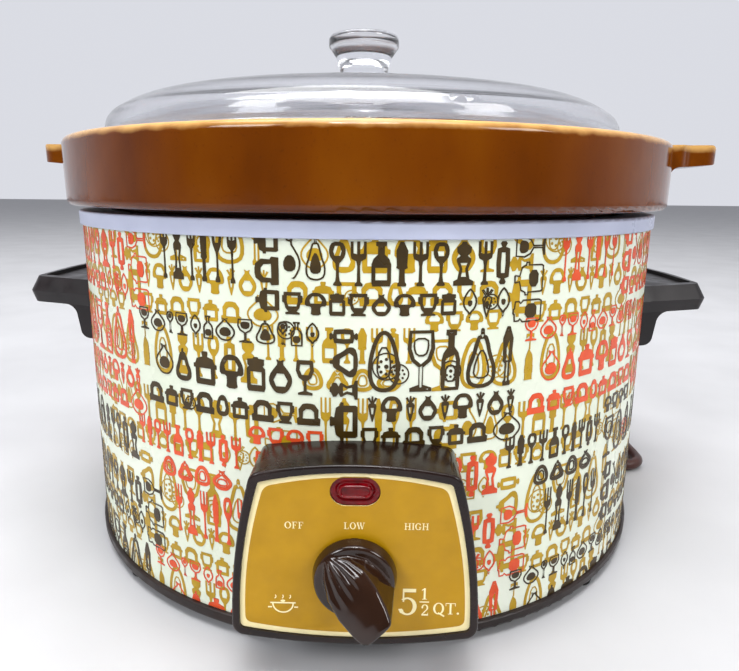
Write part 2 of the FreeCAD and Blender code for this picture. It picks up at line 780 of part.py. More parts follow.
# ---- mains cord ---------------------------------------------------------------------------------
CORD_ROUTE = [
    (0.0, EXIT_OUT, CORD_EXIT_Z),
    (0.5, 178.0, 21.5),
    (5.0, 197.0, 16.0),
    (19.0, 212.0, 8.2),
    (40.0, 219.5, 3.4),
    (64.0, 221.5, 3.0),
    (91.0, 219.5, 3.0),
    (119.0, 213.5, 3.0),
    (144.0, 203.0, 3.0),
    (157.5, 184.0, 3.0),
    (159.5, 164.0, 3.2),
    (158.0, HANK_REAR, 4.0),
]
TAIL_ROUTE = [
    (143.7, HANK_REAR, 9.6),
    (144.4, 157.6, 8.6),
    (144.0, 176.1, 5.0),
    (134.9, 191.9, 3.1),
    (119.1, 201.0, 3.0),
    (100.9, 201.4, 3.0),
    (85.1, 192.3, 3.0),
    (76.0, 176.5, 3.4),
    (75.6, 158.4, 5.4),
    (84.2, 142.8, 7.0),
]
PLUG_AT = V(*TAIL_ROUTE[-1])
PLUG_LENGTH = 29.0


def strain_relief():
    """A moulded bush: a flange on each side of the shell and a taper along the cord."""
    z = CORD_EXIT_Z
    wall = shell_radius(z)
    neck = rod(6.8, V(0, 131.2, z), V(0, wall + 1.0, z))
    inner = rod(8.4, V(0, 129.4, z), V(0, 131.4, z))
    outer = rod(8.6, V(0, wall + 0.1, z), V(0, wall + 2.4, z))
    taper = Part.makeCone(6.2, 4.1, EXIT_OUT - wall - 2.4, V(0, wall + 2.4, z), V(0, 1, 0))
    return fused(inner, neck, outer, taper)


def power_cord():
    return tube(CORD_R, CORD_ROUTE, "power cord")


def power_cord_tail():
    return tube(CORD_R, TAIL_ROUTE, "power cord tail")


def hank_outline(front):
    left, right = HANK_X - HANK_HALF, HANK_X + HANK_HALF
    bend = HANK_HALF * 0.999
    return [(left, front, bend), (right, front, bend), (right, HANK_REAR, 3.5), (left, HANK_REAR, 3.5)]


def power_cord_hank():
    """The outer shape of the cord's folded and tied length."""
    strand = 2 * CORD_R
    low = slab(hank_outline(HANK_FRONT), HANK_LOW, HANK_LOW + strand)
    high = slab(hank_outline(HANK_STEP), HANK_LOW + strand, HANK_LOW + 2 * strand)
    return fused(low, high)


def cord_tie():
    left, right = HANK_X - HANK_HALF, HANK_X + HANK_HALF
    top = HANK_LOW + 4 * CORD_R
    band = Part.makeBox(right - left + 2 * TIE_T, 5.0, top + TIE_T, V(left - TIE_T, 84.0, 0))
    return band.cut(Part.makeBox(right - left, 7.0, top - HANK_LOW, V(left, 83.0, HANK_LOW)))


def plug_direction():
    before, at = V(*TAIL_ROUTE[-2]), PLUG_AT
    return math.degrees(math.atan2(at.y - before.y, at.x - before.x))


def along_plug(shape):
    """Turns and moves a shape built along +X at the origin to where the plug lies."""
    placed = shape.copy()
    placed.rotate(V(0, 0, 0), UP, plug_direction())
    placed.translate(PLUG_AT)
    return placed


def plug_body():
    """A moulded two-pin plug lying flat."""
    corners = [
        (6.0, -5.0, 3.0),
        (11.0, -11.5, 5.0),
        (PLUG_LENGTH, -12.0, 2.0),
        (PLUG_LENGTH, 12.0, 2.0),
        (11.0, 11.5, 5.0),
        (6.0, 5.0, 3.0),
    ]
    block = slab(corners, -7.0, 7.0)
    rims = [e for e in block.Edges if e.BoundBox.ZMin > 6.9 or e.BoundBox.ZMax < -6.9]
    block = block.makeFillet(2.4, rims)
    collar = Part.makeCone(4.0, 5.4, 9.0, V(0, 0, 0), V(1, 0, 0))
    return along_plug(fused(block, collar))


def plug_blades():
    blades = []
    for side in (-1, 1):
        blade = Part.makeBox(16.0, 1.5, 6.3, V(PLUG_LENGTH, side * 6.35 - 0.75, -3.15))
        ends = [e for e in blade.Edges if e.BoundBox.XMin > PLUG_LENGTH + 15.9]
        across = [e for e in ends if e.BoundBox.YLength > 1.0]
        blades.append(blade.makeFillet(1.2, across))
    return along_plug(group(blades))


# ---- the assembly -------------------------------------------------------------------------------
def main():
    os.makedirs("parts", exist_ok=True)
    right_handle = handle()
    left_handle = right_handle.copy()
    left_handle.rotate(V(0, 0, 0), UP, 180)
    save("glass_lid", glass_lid())
    save("stoneware_crock", stoneware_crock())
    save("outer_shell", outer_shell())
    save("top_trim_ring", top_trim_ring())
    save("heating_well", heating_well())
    save("heater_band_lower", heater_band(48, 70))
    save("heater_band_upper", heater_band(88, 110))
    save("band_clamp_screws", band_clamp_screws([59, 99]))
    save("insulation_blanket", insulation_blanket())
    save("base_ring", base_ring())
    save("rubber_feet", rubber_feet())
    save("bottom_cover", bottom_cover())
    save("clamp_stud", clamp_stud())
    save("clamp_washer", clamp_washer())
    save("clamp_nut", clamp_nut())
    save("handle_right", right_handle)
    save("handle_left", left_handle)
    save("handle_screws", handle_screws())
    save("control_housing", control_housing())
    save("control_housing_screws", control_housing_screws())
    save("face_plate", face_plate())
    save("indicator_lens", indicator_lens())
    save("neon_lamp", neon_lamp())
    save("lamp_resistor", lamp_resistor())
    save("lamp_leads", lamp_leads())
    save("control_knob", control_knob())
    save("knob_spring_clip", knob_spring_clip())
    save("switch_body", switch_body())
    save("switch_shaft", switch_shaft())
    save("switch_nut", switch_nut())
    save("switch_terminals", switch_terminals())
    save("heater_leads", heater_leads())
    save("wire_connectors", wire_connectors())
    save("supply_leads", supply_leads())
    save("strain_relief", strain_relief())
    save("power_cord", power_cord())
    save("power_cord_hank", power_cord_hank())
    save("power_cord_tail", power_cord_tail())
    save("cord_tie", cord_tie())
    save("plug_body", plug_body())
    save("plug_blades", plug_blades())


main()
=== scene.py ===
"""The looks of a round countertop slow cooker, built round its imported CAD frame.

Points given to at() are millimetres about the round body's axis, with the feet at z = 0 and the control
panel facing -Y. at() turns them into the frame's metres. Everything else is in metres.
"""

import json
import math

import bmesh
import bpy
from mathutils import Matrix, Vector
from mathutils.geometry import tessellate_polygon


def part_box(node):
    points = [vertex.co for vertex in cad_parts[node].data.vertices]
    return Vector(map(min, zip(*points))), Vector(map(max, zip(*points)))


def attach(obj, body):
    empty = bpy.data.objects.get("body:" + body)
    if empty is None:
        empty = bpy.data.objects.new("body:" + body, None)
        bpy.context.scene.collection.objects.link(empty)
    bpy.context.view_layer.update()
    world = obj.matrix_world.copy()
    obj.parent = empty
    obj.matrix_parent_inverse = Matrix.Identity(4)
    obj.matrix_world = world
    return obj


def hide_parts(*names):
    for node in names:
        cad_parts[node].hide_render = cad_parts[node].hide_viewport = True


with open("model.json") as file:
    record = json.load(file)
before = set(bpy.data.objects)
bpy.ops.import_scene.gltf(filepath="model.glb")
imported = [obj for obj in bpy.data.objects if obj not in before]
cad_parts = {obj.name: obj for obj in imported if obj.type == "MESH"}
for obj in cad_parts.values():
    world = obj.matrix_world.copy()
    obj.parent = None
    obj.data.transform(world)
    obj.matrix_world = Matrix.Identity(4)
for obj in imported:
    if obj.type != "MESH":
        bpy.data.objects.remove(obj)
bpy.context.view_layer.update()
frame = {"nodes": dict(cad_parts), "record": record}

MM = 0.001
NODES = frame["nodes"]
ring_low, ring_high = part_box("top_trim_ring")
AXIS = Vector((0.0, (ring_low.y + ring_high.y) / 2, 0.0))
PLATE_FRONT = (AXIS.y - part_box("face_plate")[0].y) / MM  # the face plate's front, in front of the axis


def at(x, y, z):
    """A point about the body's axis, in millimetres, as a point of the frame."""
    return AXIS + Vector((x, y, z)) * MM


# ---- camera -------------------------------------------------------------------------------------
def photo_camera():
    """A phone held just above the cooker's rim, close in front of it."""
    side, distance, height = math.radians(1.15), 315.0, 157.6
    down, roll, pan = math.radians(13.47), math.radians(0.545), -0.00496
    place = (distance * math.sin(side), -distance * math.cos(side), height)
    heading = math.atan2(-place[1], -place[0]) + pan
    level = Vector((math.cos(heading), math.sin(heading), 0.0))
    forward = level * math.cos(down) - Vector((0.0, 0.0, math.sin(down)))
    right = Vector((math.sin(heading), -math.cos(heading), 0.0))
    up = right.cross(forward)
    right, up = math.cos(roll) * right + math.sin(roll) * up, math.cos(roll) * up - math.sin(roll) * right
    data = bpy.data.cameras.new("photo_camera")
    data.sensor_width = 36.0
    data.lens = 29.23
    data.clip_start = 0.01
    camera = bpy.data.objects.new("photo_camera", data)
    turn = Matrix((right, up, -forward)).transposed().to_4x4()
    camera.matrix_world = Matrix.Translation(at(*place)) @ turn
    bpy.context.scene.collection.objects.link(camera)
    bpy.context.scene.camera = camera


photo_camera()

# ---- the mains cord -----------------------------------------------------------------------------
CORD_RADIUS = 3.0
CORD_ROUTE = [
    (0.0, 160.0, 22.0),
    (0.5, 178.0, 21.5),
    (5.0, 197.0, 16.0),
    (19.0, 212.0, 8.2),
    (40.0, 219.5, 3.4),
    (64.0, 221.5, 3.0),
    (91.0, 219.5, 3.0),
    (119.0, 213.5, 3.0),
    (144.0, 203.0, 3.0),
    (157.5, 184.0, 3.0),
    (159.5, 164.0, 3.2),
    (161.5, 145.0, 3.6),
]
TAIL_ROUTE = [
    (143.0, 148.0, 10.0),
    (144.4, 157.6, 8.6),
    (144.0, 176.1, 5.0),
    (134.9, 191.9, 3.1),
    (119.1, 201.0, 3.0),
    (100.9, 201.4, 3.0),
    (85.1, 192.3, 3.0),
    (76.0, 176.5, 3.4),
    (75.6, 158.4, 5.4),
    (84.2, 142.8, 7.0),
]
HANK_X = 150.7  # the folded length lies along the cooker's right side
FOLD_RADIUS = 12.0
LOW_STRAND, HIGH_STRAND = 3.6, 9.6


def strand(side, start, end, height):
    """A straight run of the hank: side is 1 on the right and -1 on the left."""
    x = HANK_X + side * FOLD_RADIUS
    return [(x, start + (end - start) * share, height) for share in (0.0, 0.34, 0.67, 1.0)]


def fold(middle, side, ahead, low, high):
    """A half turn of the hank, from one side to the other; ahead is -1 at its front and 1 at its rear."""
    steps = 6
    reach = FOLD_RADIUS / math.cos(math.pi / steps / 2)
    points = []
    for i in range(1, steps):
        turn = math.pi * i / steps
        rise = min(1.0, max(0.0, (i - 1.5) / (steps - 3)))
        height = low + (high - low) * rise
        x = HANK_X + side * reach * math.cos(turn)
        points.append((x, middle + ahead * reach * math.sin(turn), height))
    return points


def hank_route():
    """Two loops, one on the other: right strand, front fold, left strand, rear fold, and again."""
    front, front_high, rear = 23.4, 47.0, 128.0
    return [
        *strand(1, 118.0, front, LOW_STRAND),
        *fold(front, 1, -1, LOW_STRAND, LOW_STRAND),
        *strand(-1, front, rear, LOW_STRAND),
        *fold(rear, -1, 1, LOW_STRAND, HIGH_STRAND),
        *strand(1, rear, front_high, HIGH_STRAND),
        *fold(front_high, 1, -1, HIGH_STRAND, HIGH_STRAND),
        *strand(-1, front_high, rear - 6, HIGH_STRAND),
        (HANK_X - FOLD_RADIUS + 1.0, rear + 8, HIGH_STRAND + 0.8),
    ]


def power_cord():
    """The whole cord, from its strain relief to its plug, as one smooth curve."""
    points = [at(*p) for p in [*CORD_ROUTE, *hank_route(), *TAIL_ROUTE]]
    curve = bpy.data.curves.new("mains_cord", "CURVE")
    curve.dimensions = "3D"
    spline = curve.splines.new("NURBS")
    spline.points.add(len(points) - 1)
    for point, place in zip(spline.points, points):
        point.co = (*place, 1.0)
        point.radius = CORD_RADIUS * MM
    spline.order_u = 3
    spline.use_endpoint_u = True
    spline.resolution_u = 10
    curve.bevel_depth = 1.0  # times each point's radius
    curve.bevel_resolution = 5
    curve.use_fill_caps = True
    cord = bpy.data.objects.new("mains_cord", curve)
    bpy.context.scene.collection.objects.link(cord)
    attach(cord, "base")
    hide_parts("power_cord", "power_cord_hank", "power_cord_tail")
    return cord


cord = power_cord()


# ---- materials ----------------------------------------------------------------------------------
def linear(colour):
    """An sRGB colour out of 255 as the linear colour that a shader takes."""
    return [((c / 255) / 12.92 if c <= 10 else ((c / 255 + 0.055) / 1.055) ** 2.4) for c in colour] + [1.0]


class Surface:
    """A Principled material whose colour, roughness and relief come from nodes."""

    def __init__(self, name, colour, roughness, **sockets):
        self.material = bpy.data.materials.new(name)
        self.material.use_nodes = True
        self.tree = self.material.node_tree
        self.shader = self.tree.nodes["Principled BSDF"]
        self.shader.inputs["Base Color"].default_value = linear(colour)
        self.shader.inputs["Roughness"].default_value = roughness
        for socket, value in sockets.items():
            self.shader.inputs[socket.replace("_", " ")].default_value = value
        self.material.diffuse_color = linear(colour)
        self.place = self.tree.nodes.new("ShaderNodeTexCoord").outputs["Object"]

    def node(self, kind, links=(), **values):
        """A new node; links are (input, socket) pairs and values are its properties."""
        made = self.tree.nodes.new(kind)
        for key, value in values.items():
            setattr(made, key, value)
        for key, socket in links:
            if isinstance(socket, bpy.types.NodeSocket):
                self.tree.links.new(socket, made.inputs[key])
            else:
                made.inputs[key].default_value = socket
        return made

    def noise(self, size_mm, detail=3.0, stretch=(1, 1, 1)):
        """Cloudy values from 0 to 1, with features about size_mm across."""
        scaled = self.node("ShaderNodeMapping", [("Vector", self.place), ("Scale", stretch)])
        links = [("Vector", scaled.outputs[0]), ("Scale", 1.0 / (size_mm * MM)), ("Detail", detail)]
        return self.node("ShaderNodeTexNoise", links).outputs["Fac"]

    def ramp(self, value, stops):
        """Colours at places of a value, as {place: colour}."""
        made = self.node("ShaderNodeValToRGB", [("Fac", value)])
        elements = made.color_ramp.elements
        while len(elements) < len(stops):
            elements.new(0.5)
        for element, (place, colour) in zip(elements, sorted(stops.items())):
            element.position = place
            element.color = linear(colour)
        return made.outputs["Color"]

    def span(self, value, low, high, to_low=0.0, to_high=1.0):
        """A value's range from low to high, carried over to another range."""
        links = [("Value", value), ("From Min", low), ("From Max", high)]
        links += [("To Min", to_low), ("To Max", to_high)]
        return self.node("ShaderNodeMapRange", links).outputs["Result"]

    def mixed(self, share, first, second, blend="MIX"):
        made = self.node("ShaderNodeMix", data_type="RGBA", blend_type=blend)
        for index, socket in ((0, share), (6, first), (7, second)):
            if isinstance(socket, bpy.types.NodeSocket):
                self.tree.links.new(socket, made.inputs[index])
            else:
                made.inputs[index].default_value = socket
        return made.outputs[2]

    def colour(self, socket):
        self.tree.links.new(socket, self.shader.inputs["Base Color"])

    def clouded(self, size_mm, dark, light):
        """The base colour varies between two colours."""
        self.colour(self.ramp(self.noise(size_mm), {0.32: dark, 0.68: light}))
        return self

    def worn(self, size_mm, low, high):
        """The roughness varies between two values."""
        value = self.span(self.noise(size_mm, 5.0), 0.3, 0.7, low, high)
        self.tree.links.new(value, self.shader.inputs["Roughness"])
        return self

    def relief(self, size_mm, depth_mm, stretch=(1, 1, 1)):
        """Fine unevenness of the surface."""
        height = self.noise(size_mm, 2.0, stretch)
        links = [("Height", height), ("Strength", 1.0), ("Distance", depth_mm * MM)]
        bump = self.node("ShaderNodeBump", links)
        self.tree.links.new(bump.outputs["Normal"], self.shader.inputs["Normal"])
        return self


def height_of(surface):
    """The height of a point of the piece, in metres."""
    return surface.node("ShaderNodeSeparateXYZ", [("Vector", surface.place)]).outputs["Z"]


def crock_glaze():
    """A brown glaze, with a painted amber highlight along the rim's top edge and painted shade at the band's
    foot.
    """
    # painted shade: the band's lowest few millimetres and what lies below them are darkened, next to the gap
    # above the trim ring
    foot_of_band, shade_reach = 0.1518, 0.0027
    # painted highlight: the span below the rim's top that is painted amber
    edge_low, edge_high = 0.0034, 0.0008  # below the rim's top
    glaze = Surface("crock_glaze", (100, 48, 2), 0.08, Specular_IOR_Level=0.3)
    browns = {0.3: (86, 38, 0), 0.5: (104, 50, 0), 0.72: (122, 66, 2)}
    brown = glaze.ramp(glaze.noise(38, 4.0, (1, 1, 0.5)), browns)
    speckle = glaze.span(glaze.noise(0.9, 2.0), 0.62, 0.78)
    brown = glaze.mixed(glaze.span(speckle, 0, 1, 0, 0.35), brown, linear((62, 24, 6)))
    waver = glaze.span(glaze.noise(7, 3.0), 0.3, 0.7, -0.0005, 0.0005)
    height = glaze.node("ShaderNodeMath", [(0, height_of(glaze)), (1, waver)], operation="ADD").outputs[0]
    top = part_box("stoneware_crock")[1].z
    # painted highlight: amber over the rim's top edge, where it catches the light
    edge_highlight = glaze.span(height, top - edge_low, top - edge_high)
    # painted shade: darker towards the band's foot
    low = glaze.span(height, foot_of_band, foot_of_band + shade_reach, 1.0, 0.0)
    brown = glaze.mixed(glaze.span(low, 0, 1, 0, 0.45), brown, linear((92, 36, 10)))
    glaze.colour(glaze.mixed(edge_highlight, brown, linear((208, 160, 92))))
    glaze.worn(12, 0.06, 0.13)
    return glaze.relief(9, 0.10)


def glass(name, tint, size_mm, depth_mm, roughness):
    """Clear pressed glass with a faint waver."""
    made = Surface(name, tint, roughness, IOR=1.47, Transmission_Weight=1.0)
    made.colour(made.ramp(made.noise(60), {0.3: tint, 0.7: [min(255, c + 3) for c in tint]}))
    return made.relief(size_mm, depth_mm)


def metal(name, colour, roughness, grain_mm, stretch):
    """Plated or spun metal with a fine grain."""
    light = [min(255, c + 22) for c in colour]
    made = Surface(name, colour, roughness, Metallic=1.0)
    made.colour(made.ramp(made.noise(grain_mm * 3, 4.0, stretch), {0.3: colour, 0.7: light}))
    made.worn(grain_mm * 4, roughness * 0.8, roughness * 1.3)
    return made.relief(grain_mm, 0.02, stretch)


def enamel(name, dark, light, roughness, size_mm=25):
    """Painted or printed steel: a smooth coat with a slight orange peel."""
    made = Surface(name, light, roughness, Specular_IOR_Level=0.36)
    made.clouded(size_mm, dark, light)
    made.worn(16, roughness * 0.8, roughness * 1.25)
    return made.relief(1.6, 0.006)


def plastic(name, dark, light, roughness, grain_mm=0.9, depth_mm=0.012, coat=0.0):
    """Moulded plastic or rubber: faint flow marks, and a grain if it isn't glossy."""
    made = Surface(name, light, roughness, Coat_Weight=coat, Coat_Roughness=0.06, Specular_IOR_Level=0.34)
    made.clouded(14, dark, light)
    made.worn(8, roughness * 0.75, roughness * 1.3)
    return made.relief(grain_mm, depth_mm)


def woven(name, dark, light, thread_mm):
    """A woven or felted fibre surface."""
    made = Surface(name, light, 0.9, Sheen_Weight=0.3)
    made.clouded(thread_mm * 2, dark, light)
    return made.relief(thread_mm, 0.15)


def lens_plastic():
    """Deep red, translucent looking plastic."""
    made = Surface("lens_red", (104, 0, 8), 0.12, Specular_IOR_Level=0.3)
    return made.clouded(3, (84, 0, 4), (122, 0, 10))


def slot_materials():
    """One finished material for each of the record's material slots."""
    made = {
        "lid_glass": glass("lid_glass", (246, 247, 250), 30, 0.04, 0.10),
        "crock_glaze": crock_glaze(),
        "printed_steel": enamel("printed_steel", (222, 229, 208), (233, 238, 222), 0.30, 40),
        "trim_ring": enamel("trim_ring", (178, 184, 206), (194, 199, 220), 0.34, 30),
        "well_metal": metal("well_metal", (158, 158, 156), 0.42, 0.8, (1, 1, 8)),
        "heater_foil": metal("heater_foil", (150, 146, 138), 0.38, 3.0, (1, 1, 1)),
        "insulation": woven("insulation", (196, 180, 128), (226, 214, 170), 0.8),
        "zinc_steel": metal("zinc_steel", (156, 156, 150), 0.36, 1.2, (1, 1, 1)),
        "base_plastic": plastic("base_plastic", (30, 20, 17), (42, 30, 26), 0.42),
        "foot_rubber": plastic("foot_rubber", (30, 29, 28), (42, 40, 39), 0.78, 0.5, 0.03),
        "handle_phenolic": plastic("handle_phenolic", (14, 8, 9), (24, 15, 16), 0.38, 1.1, 0.014),
        "housing_plastic": plastic("housing_plastic", (18, 8, 6), (32, 18, 14), 0.24, 4.0, 0.03),
        "panel_print": enamel("panel_print", (172, 128, 0), (184, 138, 2), 0.46, 9),
        "lens_red": lens_plastic(),
        "knob_plastic": plastic("knob_plastic", (26, 12, 6), (44, 25, 14), 0.12, 3.0, 0.012, 0.3),
        "spring_steel": metal("spring_steel", (140, 140, 140), 0.28, 0.8, (1, 1, 4)),
        "lamp_glass": glass("lamp_glass", (250, 214, 190), 3, 0.02, 0.03),
        "resistor_body": plastic("resistor_body", (150, 128, 92), (170, 148, 108), 0.5),
        "switch_case": plastic("switch_case", (84, 58, 46), (100, 72, 58), 0.5),
        "brass": metal("brass", (176, 142, 74), 0.3, 0.8, (1, 1, 1)),
        "lead_sleeve": woven("lead_sleeve", (206, 204, 190), (226, 224, 212), 0.5),
        "connector_cap": plastic("connector_cap", (196, 190, 174), (212, 206, 192), 0.34),
        "cord_plastic": plastic("cord_plastic", (58, 32, 26), (76, 44, 36), 0.38, 0.7, 0.012),
        "tie_band": plastic("tie_band", (34, 33, 32), (46, 45, 44), 0.55),
    }
    return {slot: surface.material for slot, surface in made.items()}


MATERIALS = slot_materials()
for part in frame["record"]["subparts"]:
    for held in NODES[part["node"]].material_slots:
        held.material = MATERIALS[part["material_slot"]]
cord.data.materials.append(MATERIALS["cord_plastic"])


# ---- making pieces ------------------------------------------------------------------------------
def new_piece(name, vertices, faces, material, body="base", normals=None, smooth=True):
    """A mesh piece in the frame that rides on a body."""
    mesh = bpy.data.meshes.new(name)
    mesh.from_pydata(vertices, [], faces)
    mesh.materials.append(material)
    mesh.polygons.foreach_set("use_smooth", [smooth] * len(mesh.polygons))
    mesh.update()
    if normals is not None:
        mesh.normals_split_custom_set_from_vertices(normals)
    piece = bpy.data.objects.new(name, mesh)
    bpy.context.scene.collection.objects.link(piece)
    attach(piece, body)
    return piece


def cut_flat(made, place, facing, drop_outer=False):
    """Cuts a flat mesh along a line through a place, square to a facing; the outer side may be dropped."""
    everything = [*made.verts, *made.edges, *made.faces]
    bmesh.ops.bisect_plane(
        made, geom=everything, dist=1e-5, plane_co=place, plane_no=facing, clear_outer=drop_outer
    )


def flat_mesh(shapes, cut_every=None, low=None, high=None):
    """Fills flat shapes, each an outline and its holes, and cuts them into strips.

    Returns the vertices and the faces. What lies below low or above high is cut away.
    """
    made = bmesh.new()
    for outline, holes in shapes:
        loops = [outline, *holes]
        corners = [made.verts.new((x, y, 0.0)) for loop in loops for x, y in loop]
        filled = tessellate_polygon([[Vector((x, y, 0.0)) for x, y in loop] for loop in loops])
        for triple in filled:
            face = made.faces.new([corners[i] for i in triple])
            if face.calc_area() < 1e-9:
                made.faces.remove(face)
    made.normal_update()
    for face in made.faces:
        if face.normal.z < 0:
            face.normal_flip()
    for limit, up in ((low, -1.0), (high, 1.0)):
        if limit is not None:
            cut_flat(made, (0, limit, 0), (0, up, 0), True)
    if cut_every and made.verts:
        first = math.floor(min(v.co.x for v in made.verts) / cut_every)
        last = math.ceil(max(v.co.x for v in made.verts) / cut_every)
        for i in range(first, last + 1):
            cut_flat(made, (i * cut_every, 0, 0), (1, 0, 0))
    loose = [v for v in made.verts if not v.link_faces]
    bmesh.ops.delete(made, geom=loose, context="VERTS")
    made.verts.index_update()
    vertices = [(v.co.x, v.co.y) for v in made.verts]
    faces = [[v.index for v in f.verts] for f in made.faces]
    made.free()
    return vertices, faces


def layer(groups, place):
    """A closed thin layer over flat meshes: groups are (vertices, faces, (shift x, shift y), lift).

    place(x, y, top, lift) gives the point of the frame under a flat point, on the layer's top or its
    underside. The lifts keep shapes that cross one another from lying in one plane.
    """
    vertices, faces = [], []
    for flat, fills, (dx, dy), lift in groups:
        start = len(vertices)
        count = len(flat)
        for top in (False, True):
            vertices.extend(place(x + dx, y + dy, top, lift) for x, y in flat)
        sides = {}
        for fill in fills:
            faces.append([start + count + i for i in fill])
            faces.append([start + i for i in reversed(fill)])
            for a, b in zip(fill, [*fill[1:], fill[0]]):
                sides[(a, b)] = sides.get((a, b), 0) + 1
        for a, b in sides:
            if (b, a) not in sides:
                faces.append([start + a, start + b, start + count + b, start + count + a])
    return vertices, faces


def smoothed(loop, passes):
    """A closed outline with its corners cut, twice as many points for each pass."""
    for _ in range(passes):
        cut = []
        for (ax, ay), (bx, by) in zip(loop, [*loop[1:], loop[0]]):
            cut.append((ax * 0.75 + bx * 0.25, ay * 0.75 + by * 0.25))
            cut.append((ax * 0.25 + bx * 0.75, ay * 0.25 + by * 0.75))
        loop = cut
    return loop


def inset(loop, distance):
    """A counter-clockwise outline drawn in by a distance."""
    drawn = []
    count = len(loop)
    for i, (x, y) in enumerate(loop):
        before = Vector(loop[i - 1])
        here = Vector((x, y))
        after = Vector(loop[(i + 1) % count])
        along = (here - before).normalized() + (after - here).normalized()
        if along.length < 1e-6:
            drawn.append((x, y))
            continue
        along.normalize()
        drawn.append((x - along.y * distance, y + along.x * distance))
    return drawn


def ellipse(x, y, rx, ry, count=20, start=0.0, end=360.0):
    """Points round an ellipse; a part of one if start and end say so, in degrees."""
    whole = abs(end - start) >= 360.0
    steps = count if whole else count - 1
    turns = [math.radians(start + (end - start) * i / steps) for i in range(count)]
    return [(x + rx * math.cos(t), y + ry * math.sin(t)) for t in turns]


# ---- the printed shell --------------------------------------------------------------------------
# A print unit is one object of the kitchen, as tall as its line. Most are turned shapes, which mirror a
# half outline (half width, height) given from the foot up. Each has a width for its height, the number
# of corner-cutting passes, its half outline and the half outlines of its openings.
UNITS = {
    "fork": (
        0.34,
        0,
        [(0.5, 0), (0.5, 0.05), (0.22, 0.1), (0.18, 0.45), (0.3, 0.56), (0.9, 0.62), (1, 0.7), (1, 1),
         (0.66, 1), (0.64, 0.74), (0.2, 0.72), (0.18, 1)],
        [],
    ),
    "spoon": (
        0.36,
        1,
        [(0.55, 0), (0.5, 0.06), (0.2, 0.12), (0.16, 0.5), (0.5, 0.56), (0.95, 0.68), (1, 0.86), (0.6, 0.99)],
        [[(0.35, 0.68), (0.5, 0.78), (0.3, 0.9)]],
    ),
    "knife": (
        0.26,
        0,
        [(0.7, 0), (0.75, 0.06), (0.5, 0.1), (0.45, 0.38), (0.95, 0.42), (0.85, 0.48), (1, 0.8), (0.3, 1)],
        [],
    ),
    "mill": (
        0.46,
        0,
        [(1, 0), (1, 0.1), (0.6, 0.15), (0.42, 0.38), (0.72, 0.56), (0.72, 0.62), (0.34, 0.68), (0.7, 0.76),
         (0.74, 0.88), (0.3, 0.95), (0.22, 1)],
        [[(0.26, 0.2), (0.14, 0.38), (0.36, 0.52)]],
    ),
    "pin": (
        0.34,
        0,
        [(0.3, 0), (0.5, 0.05), (0.25, 0.13), (0.9, 0.17), (1, 0.5), (0.9, 0.83), (0.25, 0.87), (0.5, 0.95),
         (0.3, 1)],
        [[(0.3, 0.26), (0.36, 0.5), (0.3, 0.74)]],
    ),
    "bottle": (
        0.42,
        0,
        [(0.9, 0), (1, 0.08), (1, 0.5), (0.8, 0.62), (0.34, 0.72), (0.34, 0.9), (0.55, 0.91), (0.55, 1)],
        [[(0.6, 0.14), (0.6, 0.42)]],
    ),
    "goblet": (
        0.6,
        0,
        [(0.8, 0), (0.8, 0.06), (0.16, 0.11), (0.16, 0.4), (0.7, 0.5), (1, 0.7), (0.88, 1)],
        [[(0.36, 0.58), (0.6, 0.72), (0.52, 0.88)]],
    ),
    "pot": (
        0.95,
        0,
        [(0.76, 0), (0.84, 0.08), (0.84, 0.5), (1, 0.5), (1, 0.62), (0.84, 0.64), (0.7, 0.78), (0.2, 0.84),
         (0.26, 0.96), (0.2, 1)],
        [[(0.5, 0.18), (0.5, 0.5)]],
    ),
    "jar": (
        0.66,
        0,
        [(0.86, 0), (1, 0.1), (1, 0.66), (0.74, 0.74), (0.9, 0.78), (0.9, 0.94), (0.3, 0.96), (0.2, 1)],
        [[(0.62, 0.18), (0.62, 0.58)]],
    ),
    "bulb": (
        0.8,
        1,
        [(0.3, 0), (0.62, 0.08), (1, 0.3), (0.96, 0.52), (0.5, 0.74), (0.2, 0.86), (0.36, 1), (0.06, 0.94)],
        [[(0.4, 0.2), (0.62, 0.38), (0.3, 0.58)]],
    ),
    "mushroom": (
        0.9,
        1,
        [(0.5, 0), (0.4, 0.2), (0.44, 0.4), (1, 0.4), (1, 0.66), (0.7, 0.9), (0.3, 1)],
        [[(0.5, 0.52), (0.6, 0.66), (0.3, 0.84)]],
    ),
    "carrot": (
        0.44,
        0,
        [(0.08, 0), (0.5, 0.3), (0.8, 0.62), (0.66, 0.7), (0.3, 0.73), (0.95, 0.92), (0.55, 0.96),
         (0.2, 0.82), (0.16, 1)],
        [[(0.16, 0.3), (0.3, 0.56)]],
    ),
    "pear": (
        0.72,
        1,
        [(0.4, 0), (0.95, 0.1), (1, 0.34), (0.66, 0.56), (0.46, 0.78), (0.3, 0.88), (0.12, 0.88), (0.12, 1)],
        [[(0.4, 0.16), (0.6, 0.3), (0.2, 0.64)]],
    ),
    "egg": (0.7, 2, [(0.5, 0), (1, 0.2), (0.94, 0.6), (0.4, 1)], [[(0.3, 0.22), (0.5, 0.4), (0.3, 0.74)]]),
    "loaf": (
        1.1,
        0,
        [(0.95, 0), (1, 0.3), (0.8, 0.36), (0.84, 0.72), (0.5, 0.96), (0.16, 1)],
        [[(0.5, 0.3), (0.46, 0.62), (0.2, 0.74)]],
    ),
    "cup": (
        0.86,
        0,
        [(0.7, 0), (0.7, 0.08), (0.4, 0.12), (0.7, 0.3), (0.8, 0.5), (1, 0.56), (1, 0.84), (0.84, 0.86),
         (0.84, 1)],
        [[(0.4, 0.36), (0.54, 0.56), (0.54, 0.84)]],
    ),
    "leaf": (
        0.5,
        1,
        [(0.1, 0), (0.12, 0.16), (0.8, 0.34), (1, 0.6), (0.5, 0.88), (0.06, 1)],
        [[(0.2, 0.4), (0.36, 0.6)]],
    ),
}

LINE = 0.55  # thickness of the print's drawn lines
GAP = 0.11  # space between two units of a line, for its height

